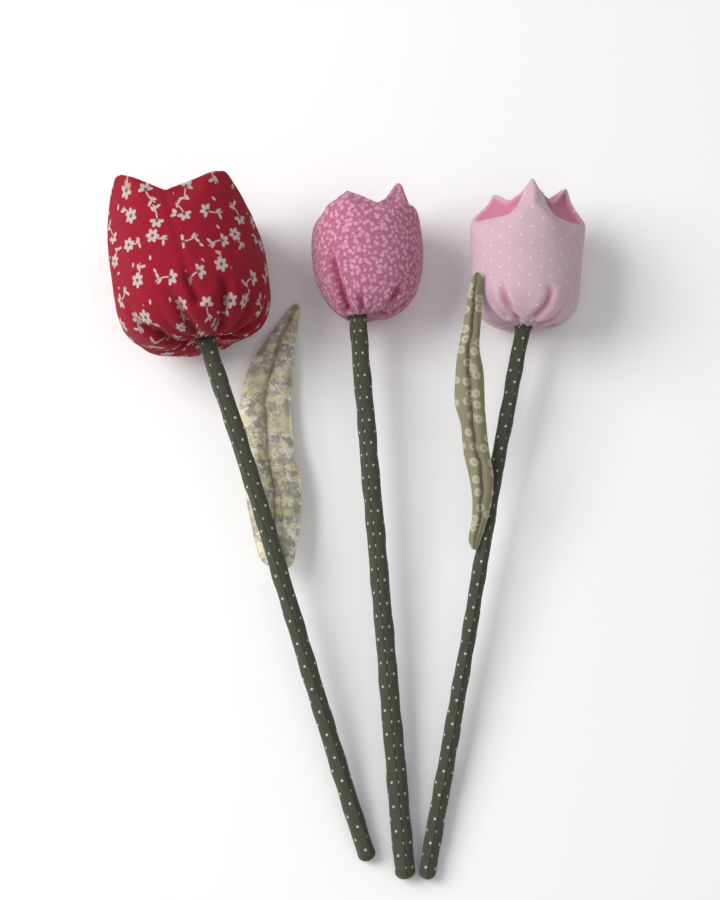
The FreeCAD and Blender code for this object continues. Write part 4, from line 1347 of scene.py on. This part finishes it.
class TULIPS_OT_leaves(bpy.types.Operator):
    """Quilt the two leaves"""

    bl_idname = "tulips.leaves"
    bl_label = "Leaves"

    def execute(self, context):
        for name, material in (("red", wash_print()), ("pale", twill_print())):
            piece = make_leaf(name)
            wear(piece, material)
            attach(piece, name + "_leaf")
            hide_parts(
                name + "_leaf_upper_panel", name + "_leaf_lower_panel",
                name + "_leaf_wadding",
            )
        return {"FINISHED"}


class TULIPS_OT_threads(bpy.types.Operator):
    """Sew the veins, the necks and the tops"""

    bl_idname = "tulips.threads"
    bl_label = "Threads"

    def execute(self, context):
        cloth = settings().cloth
        dark = thread_finish("dark_thread", tuple(cloth.thread))
        grey = thread_finish("grey_thread", (0.26, 0.25, 0.17))
        light = {
            name: thread_finish(name + "_thread", tuple(getattr(cloth, name + "_ground")))
            for name in TULIPS
        }
        for name in LEAVES:
            vein = make_vein(name)
            wear(vein, grey if name == "red" else dark)
            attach(vein, name + "_leaf")
            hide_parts(name + "_leaf_vein_thread")
        for name in TULIPS:
            for piece, node, material in (
                (make_neck(name), "_neck_thread", dark),
                (make_top_stitch(name), "_top_stitch", light[name]),
            ):
                wear(piece, material)
                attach(piece, name + "_tulip")
                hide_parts(name + node)
        return {"FINISHED"}


class TULIPS_OT_inner_pieces(bpy.types.Operator):
    """Finish the sticks and stitches that keep their own solids"""

    bl_idname = "tulips.inner_pieces"
    bl_label = "Inner pieces"

    def execute(self, context):
        birch, fibre = birch_finish(), stuffing_finish()
        dark = thread_finish("leaf_stitches", tuple(settings().cloth.thread))
        for node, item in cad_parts.items():
            if node.endswith("dowel"):
                wear(item, birch)
            elif node.endswith(("padding", "stuffing", "wadding")):
                wear(item, fibre)
            elif node.endswith("thread"):
                wear(item, dark)
        return {"FINISHED"}


class TULIPS_OT_stage(bpy.types.Operator):
    """Lay the pale table and set soft lights"""

    bl_idname = "tulips.stage"
    bl_label = "Stage"

    def execute(self, context):
        deselect()
        bpy.ops.mesh.primitive_plane_add(size=14.0, location=(0.0, 0.0, -0.2 * MM))
        table = active_piece("table")
        bpy.ops.object.transform_apply(location=True, rotation=True, scale=True)
        finish = Finish("table_white", 0.9, 0.0)
        finish.paint((0.90, 0.90, 0.90))
        wear(table, finish.material)
        for name, place, width, power, tint in (
            ("window_light", (-1.35, 0.35, 1.35), 1.3, 36.0, (1.0, 0.99, 0.98)),
            ("room_light", (0.5, -0.6, 2.0), 2.0, 7.0, (0.98, 0.99, 1.0)),
        ):
            bpy.ops.object.light_add(type="AREA", location=place)
            lamp = context.object
            lamp.name = name
            lamp.data.size = width
            lamp.data.energy = power
            lamp.data.color = tint
            lamp.rotation_euler = (-Vector(place)).to_track_quat("-Z", "Y").to_euler()
        world = context.scene.world or bpy.data.worlds.new("room")
        context.scene.world = world
        world.use_nodes = True
        sky = world.node_tree.nodes.get("Background")
        sky.inputs["Color"].default_value = (0.97, 0.98, 1.0, 1.0)
        sky.inputs["Strength"].default_value = 0.42
        context.scene.view_settings.view_transform = "Standard"
        return {"FINISHED"}


class TULIPS_PT_set(bpy.types.Panel):
    """The tulip set's steps and sizes"""

    bl_idname = "TULIPS_PT_set"
    bl_label = "Cotton tulips"
    bl_space_type = "VIEW_3D"
    bl_region_type = "UI"
    bl_category = "Tulips"

    def draw(self, context):
        for step in STEPS:
            self.layout.operator("tulips." + step)
        tulips = context.scene.tulip_set
        for part in ("cloth", "red", "rose", "pale", "red_leaf", "pale_leaf"):
            box = self.layout.box()
            box.label(text=part.replace("_", " ").capitalize())
            group = getattr(tulips, part)
            for field in group.__annotations__:
                box.prop(group, field)


STEPS = ("camera", "heads", "stems", "leaves", "threads", "inner_pieces", "stage")
CLASSES = (
    RedTulipSizes, RoseTulipSizes, PaleTulipSizes, RedLeafSizes, PaleLeafSizes,
    TULIPS_PG_Cloth, TULIPS_PG_Set,
    TULIPS_OT_camera, TULIPS_OT_heads, TULIPS_OT_stems, TULIPS_OT_leaves, TULIPS_OT_threads,
    TULIPS_OT_inner_pieces, TULIPS_OT_stage, TULIPS_PT_set,
)


def register():
    for item in CLASSES:
        bpy.utils.register_class(item)
    bpy.types.Scene.tulip_set = PointerProperty(type=TULIPS_PG_Set)


def unregister():
    del bpy.types.Scene.tulip_set
    for item in reversed(CLASSES):
        bpy.utils.unregister_class(item)


def main():
    register()
    for step in STEPS:
        getattr(bpy.ops.tulips, step)()


if __name__ == "__main__":
    main()
